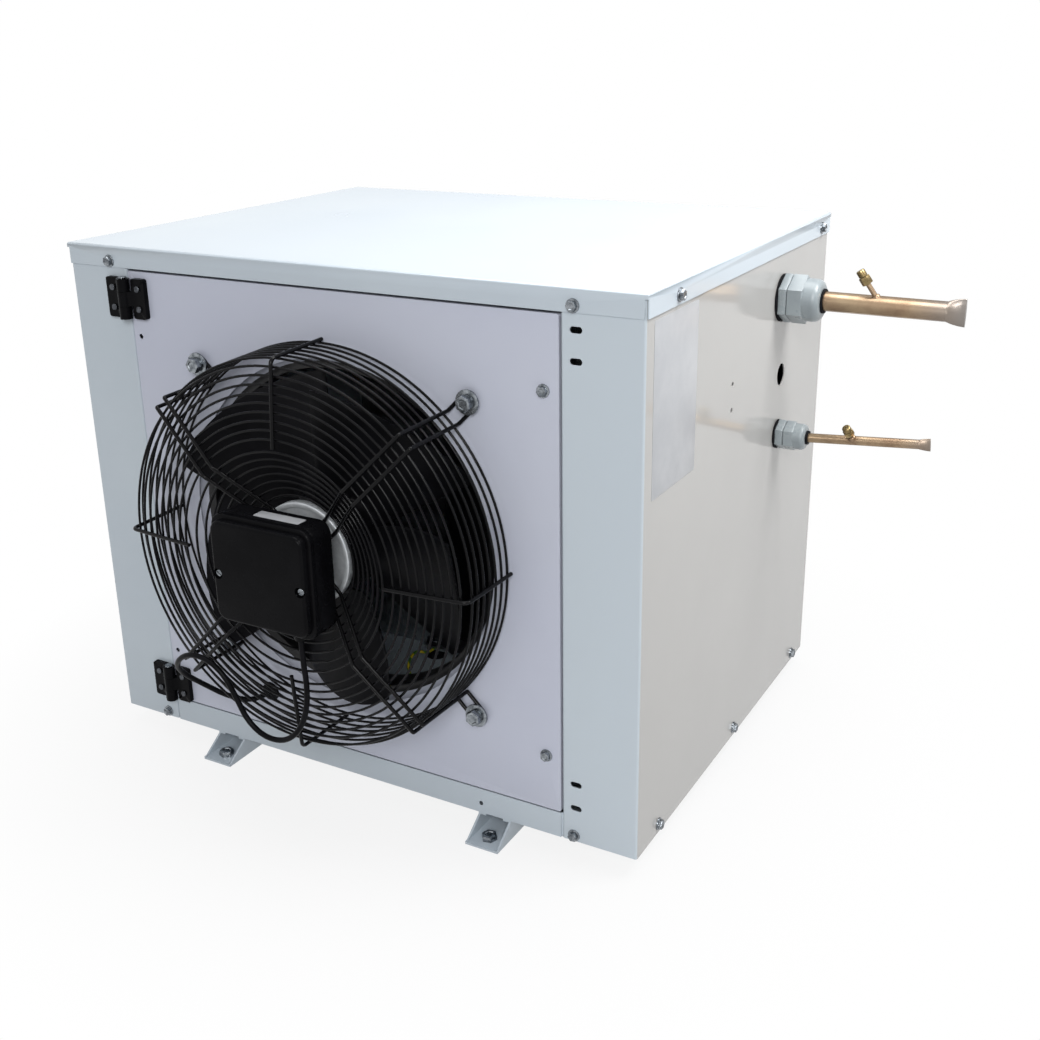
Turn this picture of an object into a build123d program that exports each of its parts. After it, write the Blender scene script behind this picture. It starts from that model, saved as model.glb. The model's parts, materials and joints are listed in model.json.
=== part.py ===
"""Refrigeration condensing unit in a sheet-metal case, with a hinged fan door.

Millimetres, +Z up, the fan side faces -Y.  The origin lies on the floor plane at the centre of the
four anchor holes of the foot rails.
"""

import os
from math import atan2, cos, pi, radians, sin, tan

from build123d import *

os.makedirs("parts", exist_ok=True)

# ---------------------------------------------------------------- driving dimensions
# Case
case_width = 600.0
case_depth = 465.0
case_height = 498.0  # underside of the base pan to the top of the roof
sheet = 1.2  # thickness of every folded sheet of the case
bend = 2.4  # outside bend radius of the folded sheets
fit_gap = 0.3  # clearance between sheets that lie on each other
roof_lip = 20.0  # height of the roof's turned-down flange
roof_rear_overhang = 3.0
rear_return = 30.0  # width of the side covers' returns at the rear
pan_lip = 25.0  # height of the base pan's turned-up flange
post_width = 71.0  # front post of the left cover
strip_width = 72.5  # front strip of the right cover
seam = 1.5  # open seam between the door, the posts and the apron

# Foot rails
foot_height = 20.0
foot_width = 34.0
foot_sheet = 2.0
foot_lip = 8.0
foot_spacing = 314.0
foot_overhang = 25.0  # the rail's end in front of the case
anchor_inset = 15.0  # anchor hole centre from the rail's end
anchor_hole_r = 5.0

# Fan door
door_top_gap = 2.5  # open gap between the door and the roof's flange
door_hem = 12.5  # depth of the door's folded edges
ledge_width = 15.0
fan_x = -2.0
fan_height = 250.0  # fan axis above the underside of the base pan
opening_r = 155.0
collar_depth = 34.0
collar_flare = 10.0

# Wire guard
guard_r = 182.0  # shoulder of the guard's wires
guard_depth = 73.0
guard_kink_r = 105.0
guard_kink_depth = 80.0
guard_hub_r = 48.0
guard_hub_depth = 52.2
guard_foot_r = 184.0
shoulder_inset = 7.5  # from the shoulder to the first ring of the face
first_ring_depth = 5.5
rib_wire_r = 1.8
ring_wire_r = 1.15
weld_gap = 0.12
arm_half_pitch = 7.2
bolt_circle_r = 206.0
side_rings = 7
face_rings = 9
cone_rings = 7

# Motor and impeller
flange_r = 48.0
flange_thick = 8.0
flange_face = 50.0  # motor flange's front face in front of the door
stator_r = 41.0
rotor_r = 46.0
rotor_wall = 4.0
rotor_front = 40.0
rotor_back = -26.0
shaft_r = 5.0
bearing_r = 11.0
bearing_width = 9.0
running_gap = 0.05
band_wall = 2.0
blade_count = 5
blade_tip_r = 150.0
blade_thick = 2.6
blade_phase = 55.0

# Terminal box on the motor
box_width = 106.0
box_height = 100.0
box_corner = 12.0
box_back = 75.0
box_split = 100.0
box_rim = 106.0
box_face = 113.0
box_wall = 3.0
box_neck_r = 27.0
lead_r = 2.6  # the motor's lead

# Hinges
hinge_offset = 7.0  # pin axis in front of the door's face
hinge_length = 38.0
hinge_leaf = 22.0
hinge_thick = 5.0
knuckle_r = 6.0
pin_r = 2.2
pin_gap = 0.06
hinge_rise, hinge_drop = 46.0, 47.5  # hinge centres from the base pan and from the roof

# Condenser coil
coil_inset = 38.0  # from the case's side to the coil's end
coil_front = 172.0
coil_back = 216.0
coil_tube_r = 4.8
coil_tubes = 12
coil_plate = 1.5
fin_pitch = 12.0
fin_groove = 3.0

# Compressor
comp_x, comp_y = 0.0, 80.0
comp_r = 72.0
comp_height = 230.0
comp_foot_gap = 14.0
suction_stub_angle, suction_stub_level = 14.0, 175.0
discharge_stub_angle, discharge_stub_level = 35.0, 190.0

# Receiver and drier
tank_inset, tank_y = 110.0, 95.0  # the inset is from the case's right side
tank_r = 42.0
tank_height = 200.0
drier_r = 15.0
drier_length = 80.0
drier_inset = 48.0  # from the case's right side

# Pipes
suction_r = 9.525
liquid_r = 4.8
discharge_r = 6.35
suction_y, suction_drop = 91.6, 63.0  # drops are from the top of the roof
liquid_y, liquid_drop = 96.6, 201.0
suction_reach = 170.5  # crimped ends beyond the right wall
liquid_reach = 150.0
cable_hole_y, cable_hole_drop, cable_hole_r = 99.8, 141.0, 11.0

# Fasteners
screw_r = 2.5
screw_hole_r = 2.75
screw_flange_r = 5.8
screw_head_af = 8.0
screw_flange_thick = 1.2
screw_head_height = 3.2
hinge_screw_r = 1.7
hinge_screw_hole_r = 1.9
m8_af = 13.0
m8_head = 5.3

# ---------------------------------------------------------------- places that follow
floor = foot_height  # underside of the base pan
roof_z = floor + case_height
half_w = case_width / 2
half_d = case_depth / 2
front = -half_d
rear = half_d
roof_under = roof_z - sheet - fit_gap
door_left = -half_w + post_width + seam
door_right = half_w - strip_width - seam
door_bottom = floor + pan_lip + seam
door_top = roof_z - roof_lip - door_top_gap
fan_z = floor + fan_height
ledge_y = front + door_hem + fit_gap
hinge_x = door_left - seam / 2
hinge_y = front - hinge_offset
hinge_levels = (hinge_rise, case_height - hinge_drop)
coil_half = half_w - coil_inset
tank_x = half_w - tank_inset
drier_x, drier_y = half_w - drier_inset, liquid_y - 14.0
suction_z = roof_z - suction_drop
liquid_z = roof_z - liquid_drop
cable_hole_z = roof_z - cable_hole_drop

# Looking at the fan side: local X to the right, local Y up, local Z out of the case.
fan_plane = Plane(origin=(fan_x, front, fan_z), x_dir=(1, 0, 0), z_dir=(0, -1, 0))
# Profiles turned about the fan axis: local X is the radius, local Y the distance out of the case.
fan_profile = Plane(origin=(fan_x, front, fan_z), x_dir=(1, 0, 0), z_dir=(0, 0, -1))
fan_axis = Axis((fan_x, front, fan_z), (0, -1, 0))


def spoke(angle, out=0.0, along=0.0):
    """A plane facing out of the case whose X points outwards along a spoke of the fan."""
    across, up = cos(radians(angle)), sin(radians(angle))
    return Plane(
        origin=(fan_x + along * across, front - out, fan_z + along * up), x_dir=(across, 0, up), z_dir=(0, -1, 0)
    )


def front_plane(x, z, y=front):
    """A plane on a front face, its Z out of the case."""
    return Plane(origin=(x, y, z), x_dir=(1, 0, 0), z_dir=(0, -1, 0))


def right_plane(y, z, x=half_w):
    """A plane on the right side, its Z out of the case."""
    return Plane(origin=(x, y, z), x_dir=(0, 1, 0), z_dir=(1, 0, 0))


def left_plane(y, z, x=-half_w):
    """A plane on the left side, its Z out of the case."""
    return Plane(origin=(x, y, z), x_dir=(0, -1, 0), z_dir=(-1, 0, 0))


def rear_plane(x, z, y=rear):
    """A plane on the rear, its Z out of the case."""
    return Plane(origin=(x, y, z), x_dir=(-1, 0, 0), z_dir=(0, 1, 0))


def drill(planes, radius, depth):
    """Cut a round hole inwards through the active part at each plane."""
    with BuildSketch(*planes) as holes:
        Circle(radius)
    extrude(holes.sketch, amount=depth, both=True, mode=Mode.SUBTRACT)


def disc(plane, radius, height, taper=0.0):
    """A round boss on the plane, added to the active part."""
    with BuildSketch(plane) as outline:
        Circle(radius)
    extrude(outline.sketch, amount=height, taper=taper)


def hexagon(plane, across_flats, height):
    """A hexagonal boss on the plane, added to the active part."""
    with BuildSketch(plane) as outline:
        RegularPolygon(across_flats / 2, 6, major_radius=False)
    extrude(outline.sketch, amount=height)


def flange_screw(plane, length=7.0):
    """A hexagon flange screw whose flange bears on the plane."""
    disc(plane, screw_flange_r, screw_flange_thick)
    hexagon(plane.offset(screw_flange_thick), screw_head_af, screw_head_height)
    hexagon(plane, 1.7 * screw_r, -length)


def turned(plane, outline):
    """A closed outline of (radius, height) points turned about the plane's Z."""
    flat = Plane(origin=plane.origin, x_dir=plane.x_dir, z_dir=-plane.y_dir)
    with BuildSketch(flat) as section:
        with BuildLine():
            Polyline(*outline, close=True)
        make_face()
    revolve(section.sketch, axis=Axis(plane.origin, plane.z_dir))


def tube_path(points, radii):
    """Straight runs joined by tangent arcs."""
    with BuildLine() as path:
        FilletPolyline(*points, radius=radii)
    return path


def fair_radii(points, share=0.45):
    """The largest arc that each corner's two runs allow."""
    radii = []
    for before, corner, after in zip(points, points[1:], points[2:]):
        first = Vector(*corner) - Vector(*before)
        second = Vector(*after) - Vector(*corner)
        turn = radians(first.get_angle(second))
        radii.append(share * min(first.length, second.length) / tan(turn / 2))
    return radii


def report_tube(name, piece, path, radius):
    """Print a tube's volume beside its section times its length."""
    length = path.wires()[0].length
    print(name, "length", round(length, 1), "volume", round(piece.part.volume), round(pi * radius**2 * length))


def sheet_profile(points):
    """A folded sheet in plan, its outside on the points and its metal to their left."""
    with BuildSketch() as profile:
        with BuildLine():
            FilletPolyline(*points, radius=bend)
            offset(amount=sheet, side=Side.LEFT)
        make_face()
    return profile.sketch


# ---------------------------------------------------------------- where the fasteners go
roof_screw_z = roof_z - 12.0
roof_front_screws = [(-248.0, roof_z - 14.5), (239.0, roof_z - 14.5)]
roof_side_screws = [(-172.0, roof_screw_z), (205.0, roof_screw_z)]
pan_side_screws = [(-185.0, floor + 9), (6.0, floor + 9), (193.0, floor + 9)]
pan_front_screws = [(-242.5, floor + 6), (239.0, floor + 6)]
apron_hole = (143.0, floor + 10)
rear_screw_x = half_w - rear_return / 2
roof_rear_screws = [(-rear_screw_x, roof_screw_z), (rear_screw_x, roof_screw_z)]
pan_rear_screws = [(-rear_screw_x, floor + 9), (rear_screw_x, floor + 9)]
door_screws_at = [(door_right - 14.0, floor + 80.3), (door_right - 14.0, floor + 412.4)]
strip_slots = [floor + level for level in (34.4, 58.4, 439.1, 464.3)]
strip_slot_x = 241.0
door_spare_holes = [(-219.5, floor + 82.9), (-219.5, floor + 413.7)]
side_spare_holes = [(-38.5, floor + 356.4), (-38.5, floor + 380.5)]
coil_screw_z = [floor + level for level in (60.0, 250.0, 440.0)]

# ---------------------------------------------------------------- foot rails
rail_half = half_d + foot_overhang
anchor_y = rail_half - anchor_inset
rail_rivet_y = 105.0

with BuildPart() as foot_rails:
    for side in (-1, 1):
        rail_plane = Plane.XZ.offset(-rail_half)
        with BuildSketch(rail_plane):
            with Locations((side * foot_spacing / 2, foot_height / 2)):
                Rectangle(foot_width, foot_height)
            with Locations((side * foot_spacing / 2, foot_height / 2)):
                Rectangle(foot_width - 2 * foot_sheet, foot_height - 2 * foot_sheet, mode=Mode.SUBTRACT)
            with Locations((side * foot_spacing / 2, foot_height)):
                Rectangle(foot_width - 2 * foot_lip, 3 * foot_sheet, mode=Mode.SUBTRACT)
        extrude(amount=2 * rail_half)
    # The flanges of the projecting ends slope down to the web.
    for end in (-1, 1):
        with BuildSketch(Plane.YZ):
            with BuildLine():
                Polyline(
                    (end * half_d, foot_height + 1),
                    (end * half_d, foot_height - foot_sheet),
                    (end * (rail_half - 3), foot_sheet + 1),
                    (end * (rail_half + 1), foot_sheet + 1),
                    (end * (rail_half + 1), foot_height + 1),
                    close=True,
                )
            make_face()
        extrude(amount=half_w, both=True, mode=Mode.SUBTRACT)
    with BuildSketch(Plane.XY):
        with GridLocations(foot_spacing, 2 * anchor_y, 2, 2):
            Circle(anchor_hole_r)
    extrude(amount=foot_sheet * 2, mode=Mode.SUBTRACT)
    with BuildSketch(Plane.XY.offset(foot_height)):
        for side in (-1, 1):
            with Locations((side * foot_spacing / 2, 0)):
                with GridLocations(foot_width - foot_lip, 2 * rail_rivet_y, 2, 2):
                    Circle(screw_hole_r)
    extrude(amount=-2 * foot_sheet, mode=Mode.SUBTRACT)
foot_rails.part.label = "foot_rails"

# ---------------------------------------------------------------- base pan
pan_half_w = half_w - sheet - fit_gap
pan_front = front + sheet + fit_gap
pan_rear = rear - sheet - fit_gap
apron_width = door_right - door_left
apron_x = (door_right + door_left) / 2

with BuildPart() as base_pan:
    with BuildSketch(Plane.XY.offset(floor)) as pan_outline:
        with Locations((0, (pan_front + pan_rear) / 2)):
            RectangleRounded(2 * pan_half_w, pan_rear - pan_front, bend)
        with Locations((apron_x, (front + pan_front) / 2)):
            Rectangle(apron_width, pan_front - front)
    extrude(amount=pan_lip)
    with BuildSketch(Plane.XY.offset(floor + sheet)):
        with Locations((0, (pan_front + pan_rear) / 2)):
            RectangleRounded(2 * (pan_half_w - sheet), pan_rear - pan_front - 2 * sheet, bend - sheet)
        with Locations((apron_x, (front + pan_front) / 2 + sheet)):
            Rectangle(apron_width - 2 * sheet, pan_front - front)
    extrude(amount=pan_lip, mode=Mode.SUBTRACT)
    # Rivet holes over the rails' lips, and a drain with a downturned rim.
    with BuildSketch(Plane.XY.offset(floor)):
        for side in (-1, 1):
            with Locations((side * foot_spacing / 2, 0)):
                with GridLocations(foot_width - foot_lip, 2 * rail_rivet_y, 2, 2):
                    Circle(screw_hole_r)
    extrude(amount=2 * sheet, mode=Mode.SUBTRACT)
    drill([right_plane(y, z) for y, z in pan_side_screws], screw_hole_r, 8)
    drill([left_plane(y, z) for y, z in pan_side_screws], screw_hole_r, 8)
    drill([front_plane(x, z) for x, z in pan_front_screws], screw_hole_r, 8)
    drill([front_plane(*apron_hole)], 2.2, 8)
    drill([rear_plane(x, z) for x, z in pan_rear_screws], screw_hole_r, 8)
base_pan.part.label = "base_pan"

with BuildPart() as rail_rivets:
    for side in (-1, 1):
        with Locations((side * foot_spacing / 2, 0)):
            with GridLocations(foot_width - foot_lip, 2 * rail_rivet_y, 2, 2) as rivet_places:
                rivet_at = [place.position for place in rivet_places.locations]
        for place in rivet_at:
            with BuildSketch(Plane(origin=(place.X, place.Y, floor - foot_sheet))):
                Circle(screw_r)
            extrude(amount=foot_sheet + sheet)
            with BuildSketch(Plane(origin=(place.X, place.Y, floor + sheet))):
                Circle(2 * screw_r)
            extrude(amount=1.6, taper=30)
rail_rivets.part.label = "rail_rivets"

# ---------------------------------------------------------------- side covers
strip_edge = half_w - strip_width
right_outline = [
    (strip_edge - ledge_width, ledge_y),
    (strip_edge, ledge_y),
    (strip_edge, front),
    (half_w, front),
    (half_w, rear),
    (half_w - rear_return, rear),
]
post_edge = -half_w + post_width
left_outline = [
    (-half_w + rear_return, rear),
    (-half_w, rear),
    (-half_w, front),
    (post_edge, front),
    (post_edge, ledge_y),
]
cover_height = roof_under - floor - fit_gap
cover_plane = Plane.XY.offset(floor + fit_gap)


def clear_pan_lip(edge):
    """Cut the cover's turned-in edge short of the base pan's front lip."""
    with BuildSketch(Plane.XY.offset(floor)) as notch:
        with Locations((edge, pan_front + door_hem - fit_gap)):
            Rectangle(2 * (ledge_width + sheet), 2 * door_hem)
    extrude(notch.sketch, amount=pan_lip + 2 * fit_gap, mode=Mode.SUBTRACT)



with BuildPart() as right_side_cover:
    with BuildSketch(cover_plane):
        add(sheet_profile(right_outline))
    extrude(amount=cover_height)
    clear_pan_lip(strip_edge)
    drill([right_plane(y, z) for y, z in roof_side_screws + pan_side_screws], screw_hole_r, 8)
    drill([right_plane(y, z) for y, z in side_spare_holes], 2.5, 8)
    drill([front_plane(x, z) for x, z in (roof_front_screws[1], pan_front_screws[1])], screw_hole_r, 8)
    drill([front_plane(x, z) for x, z in door_screws_at], screw_hole_r, door_hem + 8)
    drill([rear_plane(x, z) for x, z in (roof_rear_screws[1], pan_rear_screws[1])], screw_hole_r, 8)
    drill([rear_plane(half_w - rear_return / 2, z) for z in coil_screw_z], screw_hole_r, 8)
    drill([right_plane(suction_y, suction_z)], 18.3, 8)
    drill([right_plane(liquid_y, liquid_z)], 10.3, 8)
    drill([right_plane(cable_hole_y, cable_hole_z)], cable_hole_r, 8)
    for slot_z in strip_slots:
        with BuildSketch(front_plane(strip_slot_x, slot_z)):
            SlotOverall(11, 5.5)
        extrude(amount=8, both=True, mode=Mode.SUBTRACT)
right_side_cover.part.label = "right_side_cover"

with BuildPart() as left_side_cover:
    with BuildSketch(cover_plane):
        add(sheet_profile(left_outline))
    extrude(amount=cover_height)
    clear_pan_lip(post_edge)
    drill([left_plane(y, z) for y, z in roof_side_screws + pan_side_screws], screw_hole_r, 8)
    drill([front_plane(x, z) for x, z in (roof_front_screws[0], pan_front_screws[0])], screw_hole_r, 8)
    drill([rear_plane(x, z) for x, z in (roof_rear_screws[0], pan_rear_screws[0])], screw_hole_r, 8)
    drill([rear_plane(-half_w + rear_return / 2, z) for z in coil_screw_z], screw_hole_r, 8)
    hinge_post_x = hinge_x - knuckle_r - 1.5 - (hinge_leaf - knuckle_r) / 2
    hinge_screw_z = [floor + level + step for level in hinge_levels for step in (-hinge_length / 4, hinge_length / 4)]
    drill([front_plane(hinge_post_x, z) for z in hinge_screw_z], hinge_screw_hole_r, 3)
left_side_cover.part.label = "left_side_cover"

# ---------------------------------------------------------------- roof
roof_half_w = half_w + fit_gap + sheet
roof_front_y = front - fit_gap - sheet
roof_rear_y = rear + roof_rear_overhang
corner_notch = 5.0

with BuildPart() as roof_cover:
    with BuildSketch(Plane.XY.offset(roof_z)):
        with Locations((0, (roof_front_y + roof_rear_y) / 2)):
            Rectangle(2 * roof_half_w, roof_rear_y - roof_front_y)
    extrude(amount=-roof_lip)
    fillet(roof_cover.faces().sort_by(Axis.Z)[-1].edges(), bend)
    with BuildSketch(Plane.XY.offset(roof_z - roof_lip)):
        with Locations((0, (roof_front_y + roof_rear_y) / 2)):
            Rectangle(2 * (roof_half_w - sheet), roof_rear_y - roof_front_y - 2 * sheet)
    extrude(amount=roof_lip - sheet, mode=Mode.SUBTRACT)
    # The flanges stop short of each other at the corners, where the blank is notched.
    with BuildSketch(Plane.XY.offset(roof_z - roof_lip)):
        for corner_x in (-roof_half_w, roof_half_w):
            for corner_y in (roof_front_y, roof_rear_y):
                with Locations((corner_x, corner_y)):
                    Rectangle(corner_notch, corner_notch)
    extrude(amount=roof_lip - 2 * bend, mode=Mode.SUBTRACT)
    drill([right_plane(y, z) for y, z in roof_side_screws], screw_hole_r, 8)
    drill([left_plane(y, z) for y, z in roof_side_screws], screw_hole_r, 8)
    drill([front_plane(x, z) for x, z in roof_front_screws], screw_hole_r, 8)
    drill([rear_plane(x, z) for x, z in roof_rear_screws], screw_hole_r, 8)
roof_cover.part.label = "roof_cover"

with BuildPart() as case_screws:
    for y, z in roof_side_screws:
        flange_screw(right_plane(y, z, roof_half_w))
        flange_screw(left_plane(y, z, -roof_half_w))
    for y, z in pan_side_screws:
        flange_screw(right_plane(y, z))
        flange_screw(left_plane(y, z))
    for x, z in roof_front_screws:
        flange_screw(front_plane(x, z, roof_front_y))
    for x, z in pan_front_screws:
        flange_screw(front_plane(x, z))
    for x, z in roof_rear_screws:
        flange_screw(rear_plane(x, z, roof_rear_y), length=roof_rear_overhang + 7)
    for x, z in pan_rear_screws:
        flange_screw(rear_plane(x, z))
case_screws.part.label = "case_screws"

# ---------------------------------------------------------------- fan door
door_width = door_right - door_left
door_height = door_top - door_bottom
door_x = (door_left + door_right) / 2
door_z = (door_top + door_bottom) / 2
grommet_x, grommet_level = -98.0, 66.0
grommet_r = 7.5
guard_bolt_angles = (45, 135, 225, 315)
hinge_door_x = hinge_x + knuckle_r + 1.5 + (hinge_leaf - knuckle_r) / 2

with BuildPart() as fan_door:
    with BuildSketch(front_plane(door_x, door_z)) as door_outline:
        RectangleRounded(door_width, door_height, 1.5)
    extrude(amount=-door_hem)
    with BuildSketch(front_plane(door_x, door_z, front + sheet)):
        Rectangle(door_width - 2 * sheet, door_height - 2 * sheet)
    extrude(amount=-door_hem, mode=Mode.SUBTRACT)
    # The opening is drawn inwards into a flared collar around the fan.
    with BuildSketch(fan_plane):
        Circle(opening_r + collar_flare)
    extrude(amount=-2 * sheet, mode=Mode.SUBTRACT)
    with BuildSketch(fan_profile):
        with BuildLine():
            flare = RadiusArc(
                (opening_r + collar_flare + 2, 0), (opening_r, -collar_flare - 2), collar_flare + 2
            )
            lip = Line(flare @ 1, (opening_r, -collar_depth))
            offset(amount=sheet, side=Side.RIGHT)
        make_face()
    revolve(axis=fan_axis)
    with BuildSketch(fan_plane):
        with PolarLocations(bolt_circle_r, 4, 45):
            Circle(4.3)
    extrude(amount=-2 * sheet, mode=Mode.SUBTRACT)
    drill([front_plane(x, z) for x, z in door_screws_at], screw_hole_r, 3)
    drill([front_plane(x, z) for x, z in door_spare_holes], 2.5, 3)
    drill([front_plane(grommet_x, floor + grommet_level)], grommet_r, 3)
    drill([front_plane(hinge_door_x, z) for z in hinge_screw_z], hinge_screw_hole_r, 3)
fan_door.part.label = "fan_door"

with BuildPart() as door_screws:
    for x, z in door_screws_at:
        flange_screw(front_plane(x, z), length=door_hem + 5)
door_screws.part.label = "door_screws"

# ---------------------------------------------------------------- hinges
leaf_height = hinge_length
knuckle_share = 0.36  # of the hinge's length that the middle knuckle takes
pin_plane_z = [floor + level for level in hinge_levels]


def hinge_leaf_half(level, side, middle):
    """One leaf with its knuckles; side is -1 on the post and +1 on the door."""
    near, far = knuckle_r + 1.5, knuckle_r + 1.5 + hinge_leaf - knuckle_r
    knuckle = leaf_height * knuckle_share
    end = (leaf_height - knuckle) / 2 - fit_gap
    if middle:
        bands = [(level - knuckle / 2, knuckle)]
    else:
        bands = [(level - leaf_height / 2, end), (level + leaf_height / 2 - end, end)]
    plate = front_plane(hinge_x + side * (near + far) / 2, level)
    with BuildSketch(plate) as leaf:
        RectangleRounded(far - near, leaf_height, 2.5)
    extrude(leaf.sketch, amount=hinge_thick)
    for low, height in bands:
        with BuildSketch(Plane(origin=(hinge_x, hinge_y, low))) as barrel:
            Circle(knuckle_r)
            with BuildLine():
                Polyline(
                    (0, knuckle_r - 0.6),
                    (side * (near + 1), hinge_offset),
                    (side * (near + 1), hinge_offset - hinge_thick),
                    (side * knuckle_r * 0.6, -knuckle_r * 0.8),
                    (0, 0),
                    close=True,
                )
            make_face()
        extrude(barrel.sketch, amount=height)
    with BuildSketch(Plane(origin=(hinge_x, hinge_y, level - leaf_height))) as bore:
        Circle(pin_r + pin_gap)
    extrude(bore.sketch, amount=2 * leaf_height, mode=Mode.SUBTRACT)
    holes = [
        front_plane(hinge_x + side * (near + far) / 2, level + step, front - hinge_thick)
        for step in (-leaf_height / 4, leaf_height / 4)
    ]
    drill(holes, hinge_screw_hole_r, 2 * hinge_thick)


with BuildPart() as hinge_leaves_post:
    for level in pin_plane_z:
        hinge_leaf_half(level, -1, middle=False)
hinge_leaves_post.part.label = "hinge_leaves_post"

with BuildPart() as hinge_leaves_door:
    for level in pin_plane_z:
        hinge_leaf_half(level, 1, middle=True)
hinge_leaves_door.part.label = "hinge_leaves_door"

with BuildPart() as hinge_pins:
    for level in pin_plane_z:
        with BuildSketch(Plane(origin=(hinge_x, hinge_y, level - leaf_height / 2 - 1))):
            Circle(pin_r)
        extrude(amount=leaf_height + 1)
        with BuildSketch(Plane(origin=(hinge_x, hinge_y, level + leaf_height / 2 + 0.1))):
            Circle(pin_r + 1.6)
        extrude(amount=1.6)
        with BuildSketch(Plane(origin=(hinge_x, hinge_y, level + leaf_height / 2 - 1))):
            Circle(pin_r)
        extrude(amount=1.5)
hinge_pins.part.label = "hinge_pins"


def hinge_screw_row(x):
    """Pan-head screws through one leaf of each hinge."""
    for z in hinge_screw_z:
        disc(front_plane(x, z, front - hinge_thick), hinge_screw_r * 1.9, 1.6, taper=15)
        disc(front_plane(x, z, front - hinge_thick), hinge_screw_r, -(hinge_thick + 4))


with BuildPart() as hinge_screws_post:
    hinge_screw_row(hinge_post_x)
hinge_screws_post.part.label = "hinge_screws_post"

with BuildPart() as hinge_screws_door:
    hinge_screw_row(hinge_door_x)
hinge_screws_door.part.label = "hinge_screws_door"

# ---------------------------------------------------------------- wire guard
ring_drop = rib_wire_r + ring_wire_r + weld_gap
face_slope = atan2(guard_kink_depth - guard_depth, guard_r - guard_kink_r)
cone_slope = atan2(guard_kink_depth - guard_hub_depth, guard_kink_r - guard_hub_r)
guard_foot_depth = rib_wire_r + fit_gap
rib_foot_depth = guard_foot_depth + 2.0


def wire_radius_at(depth):
    """Radius of the side run of an arm or rib at a distance from the door."""
    share = (depth - guard_foot_depth) / (guard_depth - guard_foot_depth)
    return guard_foot_r + (guard_r - guard_foot_r) * share


def ring_places():
    """(radius, depth) of each ring's wire, on the inner side of the ribs."""
    places = []
    for step in range(side_rings):
        depth = first_ring_depth + step * (guard_depth - ring_drop - first_ring_depth) / side_rings
        places.append((wire_radius_at(depth) - ring_drop, depth))
    face_start = guard_r - shoulder_inset
    for step in range(face_rings):
        radius = face_start - step * (face_start - guard_kink_r) / face_rings
        depth = guard_depth + (guard_r - radius) * tan(face_slope)
        places.append((radius, depth - ring_drop / cos(face_slope)))
    for step in range(cone_rings):
        radius = guard_kink_r - (step + 0.5) * (guard_kink_r - guard_hub_r - 4) / cone_rings
        depth = guard_kink_depth - (guard_kink_r - radius) * tan(cone_slope)
        places.append((radius, depth - ring_drop / cos(cone_slope)))
    return places


with BuildPart() as guard_rings:
    with BuildSketch(fan_profile):
        with Locations(*ring_places()):
            RegularPolygon(ring_wire_r, 6, rotation=30)
    revolve(axis=fan_axis)
guard_rings.part.label = "guard_rings"


def wire(path, radius):
    """A wire swept along the path, added to the active part; its section is an octagon."""
    with BuildSketch(Plane(origin=path.line @ 0, z_dir=path.line % 0)) as section:
        RegularPolygon(radius, 8)
    sweep(section.sketch, path=path.line)


with BuildPart() as guard_ribs:
    for angle in (0, 90, 180, 270):
        with BuildLine(spoke(angle), mode=Mode.PRIVATE) as rib_path:
            FilletPolyline(
                (wire_radius_at(rib_foot_depth), 0, rib_foot_depth),
                (guard_r, 0, guard_depth),
                (guard_kink_r + 1, 0, guard_kink_depth),
                radius=6,
            )
        wire(rib_path, rib_wire_r)
guard_ribs.part.label = "guard_ribs"

with BuildPart() as guard_arms:
    for angle in guard_bolt_angles:
        with BuildLine(spoke(angle), mode=Mode.PRIVATE) as arm_path:
            legs = []
            for side in (1, -1):
                legs.append(
                    [
                        (guard_hub_r - 18, side * arm_half_pitch, guard_hub_depth),
                        (guard_hub_r, side * arm_half_pitch, guard_hub_depth),
                        (guard_kink_r, side * arm_half_pitch, guard_kink_depth),
                        (guard_r, side * arm_half_pitch, guard_depth),
                        (guard_foot_r, side * arm_half_pitch, guard_foot_depth),
                        (bolt_circle_r, side * arm_half_pitch, guard_foot_depth),
                    ]
                )
            FilletPolyline(*legs[0], radius=6)
            ThreePointArc(
                (bolt_circle_r, arm_half_pitch, guard_foot_depth),
                (bolt_circle_r + arm_half_pitch, 0, guard_foot_depth),
                (bolt_circle_r, -arm_half_pitch, guard_foot_depth),
            )
            FilletPolyline(*legs[1][::-1], radius=6)
        wire(arm_path, rib_wire_r)
guard_arms.part.label = "guard_arms"

with BuildPart() as guard_bolts:
    washer_face = guard_foot_depth + rib_wire_r + 0.1
    for angle in guard_bolt_angles:
        at = spoke(angle, washer_face, bolt_circle_r)
        disc(at, 11.0, 1.6)
        hexagon(at.offset(1.6), m8_af, m8_head)
        disc(at, 4.0, -(washer_face + 12))
guard_bolts.part.label = "guard_bolts"

# ---------------------------------------------------------------- fan motor
flange_back = flange_face - flange_thick
core_back = rotor_back + rotor_wall + 3
flange_screw_r = 34.0

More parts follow.
